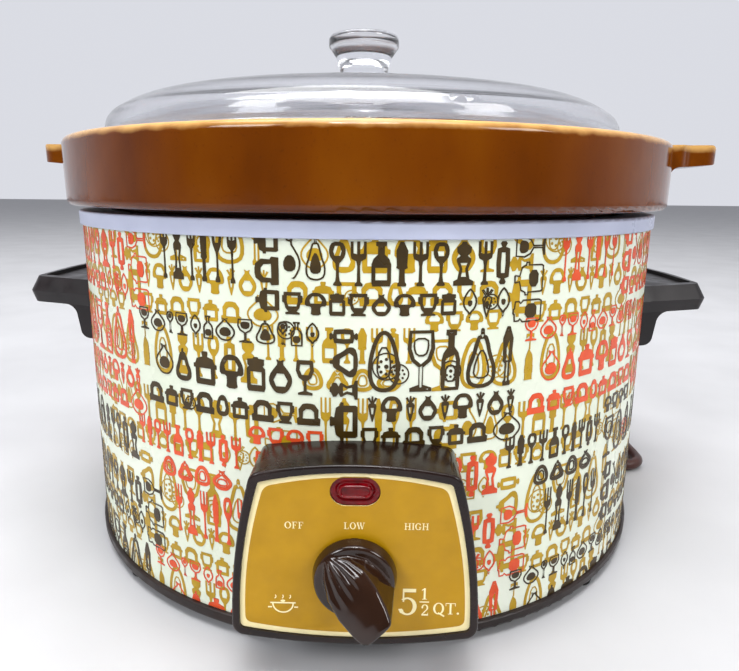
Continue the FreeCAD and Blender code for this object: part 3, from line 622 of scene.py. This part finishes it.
# The print's repeat: each line's lower left corner, its length and height, how it is drawn, whether it
# runs upwards, and its units. A line with "late" takes the other ink of its repeat.
REPEAT_WIDE, REPEAT_HIGH = 2 * math.pi * 133.9 / 6, 93.5
LINES = [
    (5, 36, 31, 18.5, "solid", False, "early", "fork mill fork knife spoon fork"),
    (42, 27.5, 26, 8.0, "solid", True, "early", "pot loaf pot"),
    (50, 38, 15, 13.0, "line", False, "early", "bulb pear"),
    (66, 36.5, 58, 13.5, "solid", False, "early", "spoon fork bottle knife fork spoon mill fork pin"),
    (51, 27.2, 55, 7.0, "solid", False, "early", "cup mushroom jar cup bulb mushroom cup jar"),
    (108, 26, 17, 9.5, "line", False, "early", "leaf carrot leaf"),
    (126, 23.5, 28, 11.5, "line", True, "early", "jar pot goblet"),
    (-9, 17, 72, 7.8, "line", False, "early",
     "goblet bulb spoon goblet leaf bottle bulb goblet pear spoon bottle leaf"),
    (9, 1.0, 52, 11.5, "solid", False, "early", "pear pot mushroom jar bulb goblet"),
    (-1, 2.0, 9, 11.0, "line", False, "early", "bulb"),
    (-6, -9.2, 69, 7.4, "solid", False, "early", "loaf pot cup loaf egg pot loaf cup loaf"),
    (66, -14, 37, 9.0, "solid", True, "early", "pot mill pear pin"),
    (78, 2.6, 49, 20.0, "bold", False, "early", "egg goblet bottle pear knife"),
    (78, -7.4, 51, 8.6, "solid", False, "early",
     "carrot mushroom carrot bulb carrot mushroom carrot bulb carrot"),
    (76, -16.4, 43, 7.0, "solid", False, "early", "cup pot loaf cup pot loaf"),
    (121, -17, 11, 10.5, "line", False, "early", "bulb"),
    (-14, -27.6, 49, 11.5, "solid", False, "late", "fork knife spoon fork bottle spoon knife fork pin fork"),
    (-1, -36.8, 32, 7.6, "bold", False, "late", "egg pear egg bulb"),
    (40, -37, 50, 17.0, "bold", False, "late", "goblet egg pear bottle egg"),
    (92, -36, 32, 15.0, "solid", False, "late", "mill fork spoon pin mill"),
    (38, -17.5, 26, 6.4, "solid", False, "late", "mushroom cup mushroom cup"),
]
DISCS = [  # middle, height and radius of each sliced vegetable
    (84, 11, 4.6),
    (88, 8.5, 3.4),
    (105, 9, 3.6),
    (15, -6.5, 2.4),
    (52, 22, 3.0),
    (63, -30, 4.0),
    (118, 31, 2.6),
]


def mirrored(half, width, height):
    """A closed outline from a half outline, standing in a box of that width and height."""
    middle = width / 2
    right = [(middle + x * middle, y * height) for x, y in half]
    left = [(middle - x * middle, y * height) for x, y in reversed(half)]
    return right + left


def unit_shapes(name, width, height, style):
    """A print unit's filled shapes, standing at the origin."""
    _, passes, half, openings = UNITS[name]
    outline = smoothed(mirrored(half, width, height), passes)
    if style == "solid":
        return [(outline, [mirrored(opening, width, height) for opening in openings])]
    thickness = LINE if style == "line" else 2.4 * LINE
    shapes = [(outline, [inset(outline, thickness)])]
    for opening in openings if height > 7.5 else []:
        loop = smoothed(mirrored(opening, width, height), 1)
        shapes.append((loop, [inset(loop, LINE)] if style == "bold" else []))
    return shapes


def line_shapes(u, v, length, height, style, upwards, names):
    """The filled shapes of one line of the print."""
    units = names.split()
    gap = GAP * height
    shares = [UNITS[name][0] for name in units]
    scale = (length - gap * (len(units) - 1)) / sum(shares)
    shapes = []
    start = 0.0
    for name, share in zip(units, shares):
        width = share * scale
        for outline, holes in unit_shapes(name, width, height, style):
            moved = [[(x + start, y) for x, y in loop] for loop in (outline, *holes)]
            if upwards:
                moved = [[(height - y, x) for x, y in loop] for loop in moved]
            moved = [[(x + u, y + v) for x, y in loop] for loop in moved]
            shapes.append((moved[0], moved[1:]))
        start += width + gap
    return shapes


def disc_shapes(u, v, radius):
    """A sliced vegetable: a ring, a ring of seeds and a middle."""
    inner = radius - LINE * 0.8
    shapes = [(ellipse(u, v, radius, radius, 24), [ellipse(u, v, inner, inner, 24)])]
    for i in range(8):
        turn = math.radians(45 * i)
        seed_u = u + math.cos(turn) * radius * 0.52
        seed_v = v + math.sin(turn) * radius * 0.52
        shapes.append((ellipse(seed_u, seed_v, radius * 0.12, radius * 0.12, 6), []))
    shapes.append((ellipse(u, v, radius * 0.16, radius * 0.16, 8), []))
    return shapes


def print_radius(z):
    """The steel shell's radius at a height, in millimetres."""
    return 134.7 - 1.7 * (z - 8.0) / 135.6


PRINT_LOW, PRINT_HIGH = 8.15, 143.5
PRINT_ORIGIN = -75.0  # where a repeat starts, round from the middle of the front
INK_UNDER = 0.12  # the layers' undersides lie this far inside the shell


def on_shell(ink_height):
    """Gives the point of the shell under a point of the print."""

    def place(u, v, top, lift):
        radius = print_radius(v) + (ink_height + lift if top else -INK_UNDER - lift)
        turn = u / 133.9
        return at(radius * math.sin(turn), -radius * math.cos(turn), v)

    return place


def repeat_groups(lift, inks, slide=0.0):
    """The flat meshes of one ink all round the shell; inks says which of the two inks each line takes."""
    groups = []
    for level in (-1, 0, 1):
        rise = lift + level * REPEAT_HIGH
        for kind in ("early", "late"):
            shapes = []
            for u, v, length, height, style, upwards, when, names in LINES:
                if when == kind:
                    shapes += line_shapes(u, v + rise, length, height, style, upwards, names)
            if kind == "early":
                for u, v, radius in DISCS:
                    shapes += disc_shapes(u, v + rise, radius)
            cut = [flat_mesh([shape], 6.0, PRINT_LOW, PRINT_HIGH) for shape in shapes]
            for turn in range(6):
                if (turn + level + (kind == "late")) % 2 in inks:
                    shift = (PRINT_ORIGIN + slide + turn * REPEAT_WIDE, 0.0)
                    groups += [(*filled, shift, 0.004 * (i % 5)) for i, filled in enumerate(cut)]
    return groups


def printed_layer(name, colours, ink_height, lift, inks, slide=0.0):
    """One ink of the print, as a thin closed layer round the shell."""
    surface = enamel(name, colours[0], colours[1], 0.32, 6)
    vertices, faces = layer(repeat_groups(lift, inks, slide), on_shell(ink_height))
    normals = [Vector((vertex.x - AXIS.x, vertex.y - AXIS.y, 0.0)).normalized() for vertex in vertices]
    return new_piece(name, vertices, faces, surface.material, normals=normals)


FIRST_LIFT = 93.0  # the repeat's own zero, above the table
MUSTARD_LIFT = FIRST_LIFT + 39.5 - REPEAT_HIGH
printed_layer("print_mustard", ((172, 136, 8), (190, 152, 20)), 0.06, MUSTARD_LIFT, (0, 1), 58.0)
printed_layer("print_coral", ((216, 72, 30), (230, 88, 42)), 0.12, FIRST_LIFT, (1,))
printed_layer("print_brown", ((50, 36, 4), (66, 48, 8)), 0.14, FIRST_LIFT, (0,))


# ---- control panel ------------------------------------------------------------------------------
LENS_HEIGHT, KNOB_HEIGHT = 70.2, 42.4  # of their middles, above the table


def panel_outline(drawn_in, corner):
    """The control panel's bowed outline, drawn in from the housing's edge, as points (x, z)."""
    top_half, low_half = 31.6 - 0.94 * drawn_in, 39.0 - 1.02 * drawn_in
    low, high, crown = 16.9 + drawn_in, 79.1 - drawn_in, 3.4
    side = (top_half + low_half) / 2 + 1.9
    middle = (low + high) / 2
    foot, head = low + crown, high - crown
    corners = [(-low_half, foot), (low_half, foot), (top_half, head), (-top_half, head)]
    peaks = [(0, low), (side, middle), (0, high), (-side, middle)]
    sides = []
    for i, (px, pz) in enumerate(peaks):
        (ax, az), (bx, bz) = corners[i], corners[(i + 1) % 4]
        trim = corner / math.hypot(bx - ax, bz - az)
        points = []
        for step in range(17):
            t = trim + (1 - 2 * trim) * step / 16
            swell = 4 * t * (1 - t)
            x = ax + (bx - ax) * t + swell * (px - (ax + bx) / 2)
            z = az + (bz - az) * t + swell * (pz - (az + bz) / 2)
            points.append((x, z))
        sides.append(points)
    outline = []
    for i, points in enumerate(sides):
        outline += points
        (ax, az), (bx, bz) = points[-1], sides[(i + 1) % 4][0]
        cx, cz = corners[(i + 1) % 4]
        for step in range(1, 6):
            t = step / 6
            x = ax * (1 - t) ** 2 + 2 * cx * t * (1 - t) + bx * t * t
            z = az * (1 - t) ** 2 + 2 * cz * t * (1 - t) + bz * t * t
            outline.append((x, z))
    return outline


def obround(half_long, half_high, z, count=14):
    """Points round a shape with straight long sides and round ends."""
    straight = half_long - half_high
    right = ellipse(straight, z, half_high, half_high, count, -90, 90)
    left = ellipse(-straight, z, half_high, half_high, count, 90, 270)
    return right + left


def on_panel(low, high):
    """Gives the point of the frame under a flat point (x, z) of the panel, between two heights of it."""

    def place(x, z, top, lift):
        return at(x, -PLATE_FRONT - (high + lift if top else low - lift), z)

    return place


def panel_layer(name, shapes, material, low, high):
    """A thin closed layer on the control panel's face."""
    groups = [(*flat_mesh([shape]), (0.0, 0.0), 0.004 * (i % 5)) for i, shape in enumerate(shapes)]
    vertices, faces = layer(groups, on_panel(low, high))
    return new_piece(name, vertices, faces, material, smooth=False)


def slanted(ax, ay, bx, by, width):
    """A straight stroke's outline."""
    along = Vector((bx - ax, by - ay)).normalized() * (width / 2)
    return [(ax + along.y, ay - along.x), (bx + along.y, by - along.x), (bx - along.y, by + along.x),
            (ax - along.y, ay + along.x)]


def box(x0, y0, x1, y1):
    return [(x0, y0), (x1, y0), (x1, y1), (x0, y1)]


def curved(x, y, rx, ry, wide, thin, start, end):
    """A curved stroke: thick where it runs upright and thin where it runs level."""
    count = 26
    outer = ellipse(x, y, rx, ry, count, start, end)
    inner = ellipse(x, y, rx - wide, ry - thin, count, start, end)
    return outer + inner[::-1]


def letter(sign):
    """A roman letter or figure with serifs, one unit high: its width and its filled shapes."""
    stem, thin = 0.15, 0.055
    if sign in "OQ":
        ring = (ellipse(0.45, 0.5, 0.44, 0.52, 32), [ellipse(0.45, 0.5, 0.27, 0.46, 32)])
        tail = [(slanted(0.42, 0.12, 0.92, -0.2, 0.12), [])] if sign == "Q" else []
        return (0.9, [ring, *tail])
    if sign == "G":
        bowl = curved(0.45, 0.5, 0.44, 0.52, stem + 0.02, 0.06, 38, 322)
        return (0.92, [(bowl, []), (box(0.66, 0.05, 0.8, 0.44), []), (box(0.54, 0.4, 0.92, 0.45), []),
                       (box(0.74, 0.68, 0.8, 0.98), [])])
    if sign == "5":
        bowl = curved(0.28, 0.33, 0.36, 0.34, 0.15, 0.06, -160, 130)
        return (0.68, [(bowl, []), (box(0.1, 0.5, 0.16, 1.0), []), (box(0.1, 0.87, 0.6, 1.0), []),
                       (ellipse(0.06, 0.14, 0.08, 0.08, 12), [])])
    if sign == "2":
        hook = curved(0.32, 0.7, 0.3, 0.3, 0.14, 0.06, -28, 175)
        neck = slanted(0.55, 0.6, 0.06, 0.07, 0.09)
        return (0.68, [(hook, []), (neck, []), (box(0.04, 0.0, 0.62, 0.12), []),
                       (box(0.57, 0.0, 0.62, 0.24), []), (ellipse(0.1, 0.72, 0.08, 0.08, 12), [])])
    if sign == ".":
        return (0.24, [(ellipse(0.1, 0.08, 0.09, 0.09, 14), [])])
    if sign == "W":
        return (1.2, [(slanted(0.12, 0.98, 0.38, 0.0, stem), []), (slanted(0.38, 0.0, 0.6, 0.9, thin), []),
                      (slanted(0.56, 0.98, 0.82, 0.0, stem), []), (slanted(0.82, 0.0, 1.08, 0.98, thin), []),
                      (box(0.0, 0.95, 0.28, 1.0), []), (box(0.44, 0.95, 0.72, 1.0), []),
                      (box(0.96, 0.95, 1.2, 1.0), [])])
    stems = {"I": [0.2], "1": [0.26], "L": [0.2], "F": [0.2], "H": [0.2, 0.78], "T": [0.4]}[sign]
    shapes = []
    for x in stems:
        shapes.append((box(x - stem / 2, 0.0, x + stem / 2, 1.0), []))
        shapes.append((box(x - 0.19, 0.0, x + 0.19, 0.045), []))
        if sign not in "T1":
            shapes.append((box(x - 0.19, 0.955, x + 0.19, 1.0), []))
    extra = {
        "1": [slanted(0.26, 0.97, 0.04, 0.8, 0.06)],
        "L": [box(0.2, 0.0, 0.72, 0.05), box(0.67, 0.0, 0.72, 0.26)],
        "F": [box(0.2, 0.95, 0.68, 1.0), box(0.63, 0.74, 0.68, 1.0), box(0.2, 0.48, 0.5, 0.53),
              box(0.46, 0.4, 0.5, 0.61)],
        "H": [box(0.2, 0.48, 0.78, 0.53)],
        "T": [box(0.0, 0.95, 0.8, 1.0), box(0.0, 0.74, 0.05, 1.0), box(0.75, 0.74, 0.8, 1.0)],
    }
    shapes += [(outline, []) for outline in extra.get(sign, [])]
    widths = {"I": 0.4, "1": 0.5, "L": 0.76, "F": 0.72, "H": 0.98, "T": 0.8}
    return (widths[sign], shapes)


def lettering(text, left, right, low, high):
    """A word's shapes, drawn to fill a box on the panel."""
    gap = 0.1
    letters = [letter(sign) for sign in text]
    total = sum(width for width, _ in letters) + gap * (len(letters) - 1)
    across, up = (right - left) / total, high - low
    shapes = []
    start = 0.0
    for width, parts in letters:
        for outline, holes in parts:
            drawn, *cut = [
                [(left + (x + start) * across, low + y * up) for x, y in loop] for loop in (outline, *holes)
            ]
            shapes.append((drawn, cut))
        start += width + gap
    return shapes


def pot_sign(x, z, width):
    """A steaming pot, drawn in outline."""
    high = width * 0.36
    stroke = 0.45
    body = curved(x, z + high, width * 0.36, high, stroke, stroke, 180, 360)
    shapes = [(body, []), (box(x - width * 0.42, z + high, x + width * 0.42, z + high + stroke), [])]
    shapes.append((ellipse(x, z + high + 0.95, 0.75, 0.4, 14), []))
    handle_z = z + high * 0.55
    for side in (-1, 1):
        near, far = sorted((x + side * width * 0.5, x + side * width * 0.37))
        shapes.append((box(near, handle_z, far, handle_z + stroke), []))
    for i in (-1, 0, 1):
        shapes.append((curved(x + i * 2.3 - 0.3, z + high + 2.5, 0.6, 0.75, 0.3, 0.3, -90, 60), []))
    return shapes


def control_panel():
    """The plate's mustard field and its cream marks."""
    for held in NODES["face_plate"].material_slots:
        held.material = enamel("panel_cream", (240, 224, 168), (246, 232, 182), 0.4, 12).material
    lens_hole = obround(7.66, 4.76, LENS_HEIGHT)[::-1]
    shaft_hole = ellipse(0, KNOB_HEIGHT, 7.2, 7.2, 40)[::-1]
    field = [(panel_outline(4.25, 2.2), [lens_hole, shaft_hole])]
    panel_layer("panel_field", field, MATERIALS["panel_print"], -0.1, 0.07)
    marks = [
        *lettering("OFF", -21.5, -15.7, 57.7, 59.9),
        *lettering("LOW", -3.4, 3.0, 57.8, 60.0),
        *lettering("HIGH", 15.0, 22.4, 57.9, 60.1),
        *lettering("5", 14.2, 19.8, 28.0, 37.4),
        *lettering("1", 20.8, 22.8, 33.7, 37.7),
        (box(20.3, 32.6, 23.3, 32.95), []),
        *lettering("2", 20.9, 23.3, 27.9, 31.9),
        *lettering("QT.", 24.6, 33.0, 28.5, 32.5),
        *pot_sign(-22.6, 27.9, 9.5),
    ]
    cream = enamel("panel_marks", (246, 232, 178), (250, 238, 190), 0.4, 6)
    panel_layer("panel_marks", marks, cream.material, 0.03, 0.12)


control_panel()


def loft_piece(name, loops, slot, body, replaced=None):
    """A closed piece through a row of loops, capped at both ends."""
    count = len(loops[0])
    vertices = [corner for loop in loops for corner in loop]
    faces = [list(range(count))[::-1]]
    for i in range(len(loops) - 1):
        for j in range(count):
            k = (j + 1) % count
            faces.append([i * count + j, i * count + k, (i + 1) * count + k, (i + 1) * count + j])
    faces.append([(len(loops) - 1) * count + j for j in range(count)])
    made = new_piece(name, vertices, faces, MATERIALS[slot], body)
    if replaced:
        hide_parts(replaced)
    tidy_normals(made.data)
    return made


def tidy_normals(mesh):
    """Turns every face of a closed mesh outwards."""
    held = bmesh.new()
    held.from_mesh(mesh)
    bmesh.ops.recalc_face_normals(held, faces=held.faces)
    held.to_mesh(mesh)
    held.free()


def lens():
    """The red lens: a bevelled body, a groove round it and a raised window in the middle."""
    steps = [  # half length, half height, and how far out of the plate's front
        (9.3, 5.9, -3.75), (9.3, 5.9, -3.05), (7.62, 4.72, -3.0), (7.62, 4.72, -0.75), (7.5, 4.6, -0.55),
        (6.4, 3.5, -0.55), (6.2, 3.3, -0.6), (5.5, 2.6, -0.95), (5.2, 2.35, -0.9), (5.05, 2.15, 0.3),
        (4.9, 2.0, 0.45), (4.5, 1.6, 0.45), (4.35, 1.45, 0.3), (4.2, 1.3, -0.1), (3.9, 1.0, -0.15),
        (1.2, 0.3, -0.12),
    ]
    loops = []
    for wide, high, out in steps:
        loops.append([at(x, -PLATE_FRONT - out, z) for x, z in obround(wide, high, LENS_HEIGHT)])
    made = loft_piece("lens", loops, "lens_red", "base", "indicator_lens")
    for face in made.data.polygons:
        face.use_smooth = False


lens()


# ---- knob ---------------------------------------------------------------------------------------
KNOB_SECTIONS = [  # along the pointer, height above the panel, half width at the top, half width at the foot
    (-10.7, 19.4, 5.0, 7.8),
    (-7.0, 17.4, 6.4, 8.2),
    (-2.0, 14.4, 7.4, 8.9),
    (3.5, 11.0, 7.2, 8.6),
    (8.0, 7.9, 4.8, 6.6),
    (11.6, 5.5, 1.2, 2.6),
]


def knob_point(along, across, out):
    """A point of the knob: along its pointer, across it, and out from the panel's face."""
    turn = math.radians(45)
    x = -along * math.sin(turn) + across * math.cos(turn)
    z = along * math.cos(turn) + across * math.sin(turn)
    return at(x, -PLATE_FRONT - out, KNOB_HEIGHT + z)


def knob_section(along):
    """The grip's cross-section at a place along the pointer, with the flutes that fan from its tip."""
    row = KNOB_SECTIONS
    i = max(k for k in range(len(row) - 1) if row[k][0] <= along + 1e-9)
    share = (along - row[i][0]) / (row[i + 1][0] - row[i][0])
    height, top, foot = (row[i][k] + (row[i + 1][k] - row[i][k]) * share for k in (1, 2, 3))
    fade = min(1.0, max(0.0, (along + 1.5) / 9.0))
    fade = fade * fade * (3 - 2 * fade)
    end = max(0.0, (-9.9 - along) / 0.8)
    height -= 0.9 * end * end
    steps = 36
    loop = [(-foot + 0.5 * end, 3.2)]
    for k in range(steps + 1):
        t = 2 * k / steps - 1
        crown = 0.55 * (1 - abs(t) ** 2.6) * (0.4 + 0.6 * min(1.0, top / 5))
        shoulder = 1.0 * max(0.0, (abs(t) - 0.86) / 0.14) ** 2
        flute = 0.34 * fade * math.cos(math.pi * 4.5 * (t + 1) + math.pi) * min(1.0, top / 4)
        loop.append((t * (top + 0.35) * (1 - 0.06 * end), height - 0.55 + crown - shoulder + flute))
    loop.append((foot - 0.5 * end, 3.2))
    return [knob_point(along, across, out) for across, out in loop]


def lathe_knob(profile, count=72):
    """Loops of a shape turned about the knob's axis, from (radius, out) corners."""
    loops = []
    for radius, out in profile:
        ring = ellipse(0, KNOB_HEIGHT, radius, radius, count)
        loops.append([at(x, -PLATE_FRONT - out, z) for x, z in ring])
    return loops


def combined(piece, other, operation):
    """Adds another piece to a piece, or cuts it away, and drops the other."""
    change = piece.modifiers.new("combine", "BOOLEAN")
    change.object = other
    change.operation = operation
    change.solver = "EXACT"
    settle(piece)
    bpy.data.objects.remove(other)


def settle(piece):
    """Makes a piece's modifiers part of its mesh."""
    shown = piece.evaluated_get(bpy.context.evaluated_depsgraph_get())
    mesh = bpy.data.meshes.new_from_object(shown)
    piece.modifiers.clear()
    piece.data = mesh


def knob():
    """The control knob: a hollow skirt and a fluted finger grip, run into one another."""
    turned = lathe_knob([(13.2, 1.05), (12.95, 2.4), (12.5, 4.2), (12.2, 4.9), (11.6, 5.3), (6.0, 5.35)])
    made = loft_piece("knob_grip", turned, "knob_plastic", "knob", "control_knob")
    count = 64
    tail, length = KNOB_SECTIONS[0][0], 22.3
    sections = [knob_section(tail + length * i / count) for i in range(count + 1)]
    grip = loft_piece("grip", sections, "knob_plastic", "knob")
    round_end = []
    for out in (2.0, 24.0):
        ring = ellipse(1.2, 1.2, 12.6, 12.6, 96)
        round_end.append([knob_point(along, across, out) for along, across in ring])
    combined(grip, loft_piece("rounding", round_end, "knob_plastic", "knob"), "INTERSECT")
    combined(made, grip, "UNION")
    for name, radius, depth in (("hollow", 11.2, 3.4), ("bore", 3.12, 9.5)):
        cutter = loft_piece(name, lathe_knob([(radius, -1.0), (radius, depth)]), "knob_plastic", "knob")
        combined(made, cutter, "DIFFERENCE")
    even = made.modifiers.new("even", "REMESH")
    even.mode = "VOXEL"
    even.voxel_size = 0.0003
    even.use_smooth_shade = True
    soften = made.modifiers.new("soften", "SMOOTH")
    soften.factor = 0.5
    soften.iterations = 4
    settle(made)
    made.data.polygons.foreach_set("use_smooth", [True] * len(made.data.polygons))


knob()


# ---- floor and light ----------------------------------------------------------------------------
def studio():
    """A pale floor, soft lights and a pale surrounding."""
    half = 9.0
    corners = [(-half, -half, 0), (half, -half, 0), (half, half, 0), (-half, half, 0)]
    mesh = bpy.data.meshes.new("floor")
    mesh.from_pydata(corners, [], [(0, 1, 2, 3)])
    pale = Surface("floor", (186, 186, 188), 0.9)
    pale.clouded(90, (182, 182, 184), (190, 190, 192))
    mesh.materials.append(pale.material)
    floor = bpy.data.objects.new("floor", mesh)
    bpy.context.scene.collection.objects.link(floor)

    world = bpy.data.worlds.new("studio")
    bpy.context.scene.world = world
    world.use_nodes = True
    tree = world.node_tree
    looking = tree.nodes.new("ShaderNodeSeparateXYZ")
    tree.links.new(tree.nodes.new("ShaderNodeTexCoord").outputs["Generated"], looking.inputs[0])
    ahead = tree.nodes.new("ShaderNodeMapRange")
    tree.links.new(looking.outputs["Y"], ahead.inputs["Value"])
    for socket, value in (("From Min", -0.5), ("From Max", 0.35), ("To Min", 0.12), ("To Max", 0.84)):
        ahead.inputs[socket].default_value = value
    background = tree.nodes["Background"]
    tree.links.new(ahead.outputs["Result"], background.inputs["Strength"])
    background.inputs["Color"].default_value = linear((236, 238, 246))
    bpy.context.scene.view_settings.view_transform = "Standard"


def lamp(name, place, aim, size, power, colour=(255, 255, 255)):
    """A soft rectangular light."""
    data = bpy.data.lights.new(name, "AREA")
    data.shape = "RECTANGLE"
    data.size, data.size_y = size
    data.energy = power
    data.color = linear(colour)[:3]
    made = bpy.data.objects.new(name, data)
    made.location = at(*place)
    made.rotation_mode = "QUATERNION"
    made.rotation_quaternion = (at(*aim) - at(*place)).to_track_quat("-Z", "Y")
    bpy.context.scene.collection.objects.link(made)


def ring_light(place, outer, inner, strength):
    """A round lamp tube over the camera, which the lid and the knob mirror."""
    count = 64
    vertices, faces = [], []
    for i in range(count):
        turn = 2 * math.pi * i / count
        for radius in (outer, inner):
            vertices.append(at(*place) + Vector((radius * math.cos(turn), radius * math.sin(turn), 0.0)))
        j = (i + 1) % count
        faces.append([2 * i, 2 * i + 1, 2 * j + 1, 2 * j])
    mesh = bpy.data.meshes.new("ring_light")
    mesh.from_pydata(vertices, [], faces)
    material = bpy.data.materials.new("ring_light")
    material.use_nodes = True
    glow = material.node_tree.nodes["Principled BSDF"]
    glow.inputs["Emission Color"].default_value = (1.0, 1.0, 1.0, 1.0)
    glow.inputs["Emission Strength"].default_value = strength
    mesh.materials.append(material)
    ring = bpy.data.objects.new("ring_light", mesh)
    bpy.context.scene.collection.objects.link(ring)


studio()
lamp("light_above", (-120, -80, 2000), (0, 0, 100), (1.8, 1.4), 44)
lamp("light_left", (-1800, -1800, 1800), (0, 0, 90), (1.0, 1.0), 48, (250, 252, 255))
lamp("light_right", (2000, -1400, 1600), (0, 0, 90), (1.0, 1.0), 36)
ring_light((-6, -330, 560), 0.075, 0.052, 44.0)
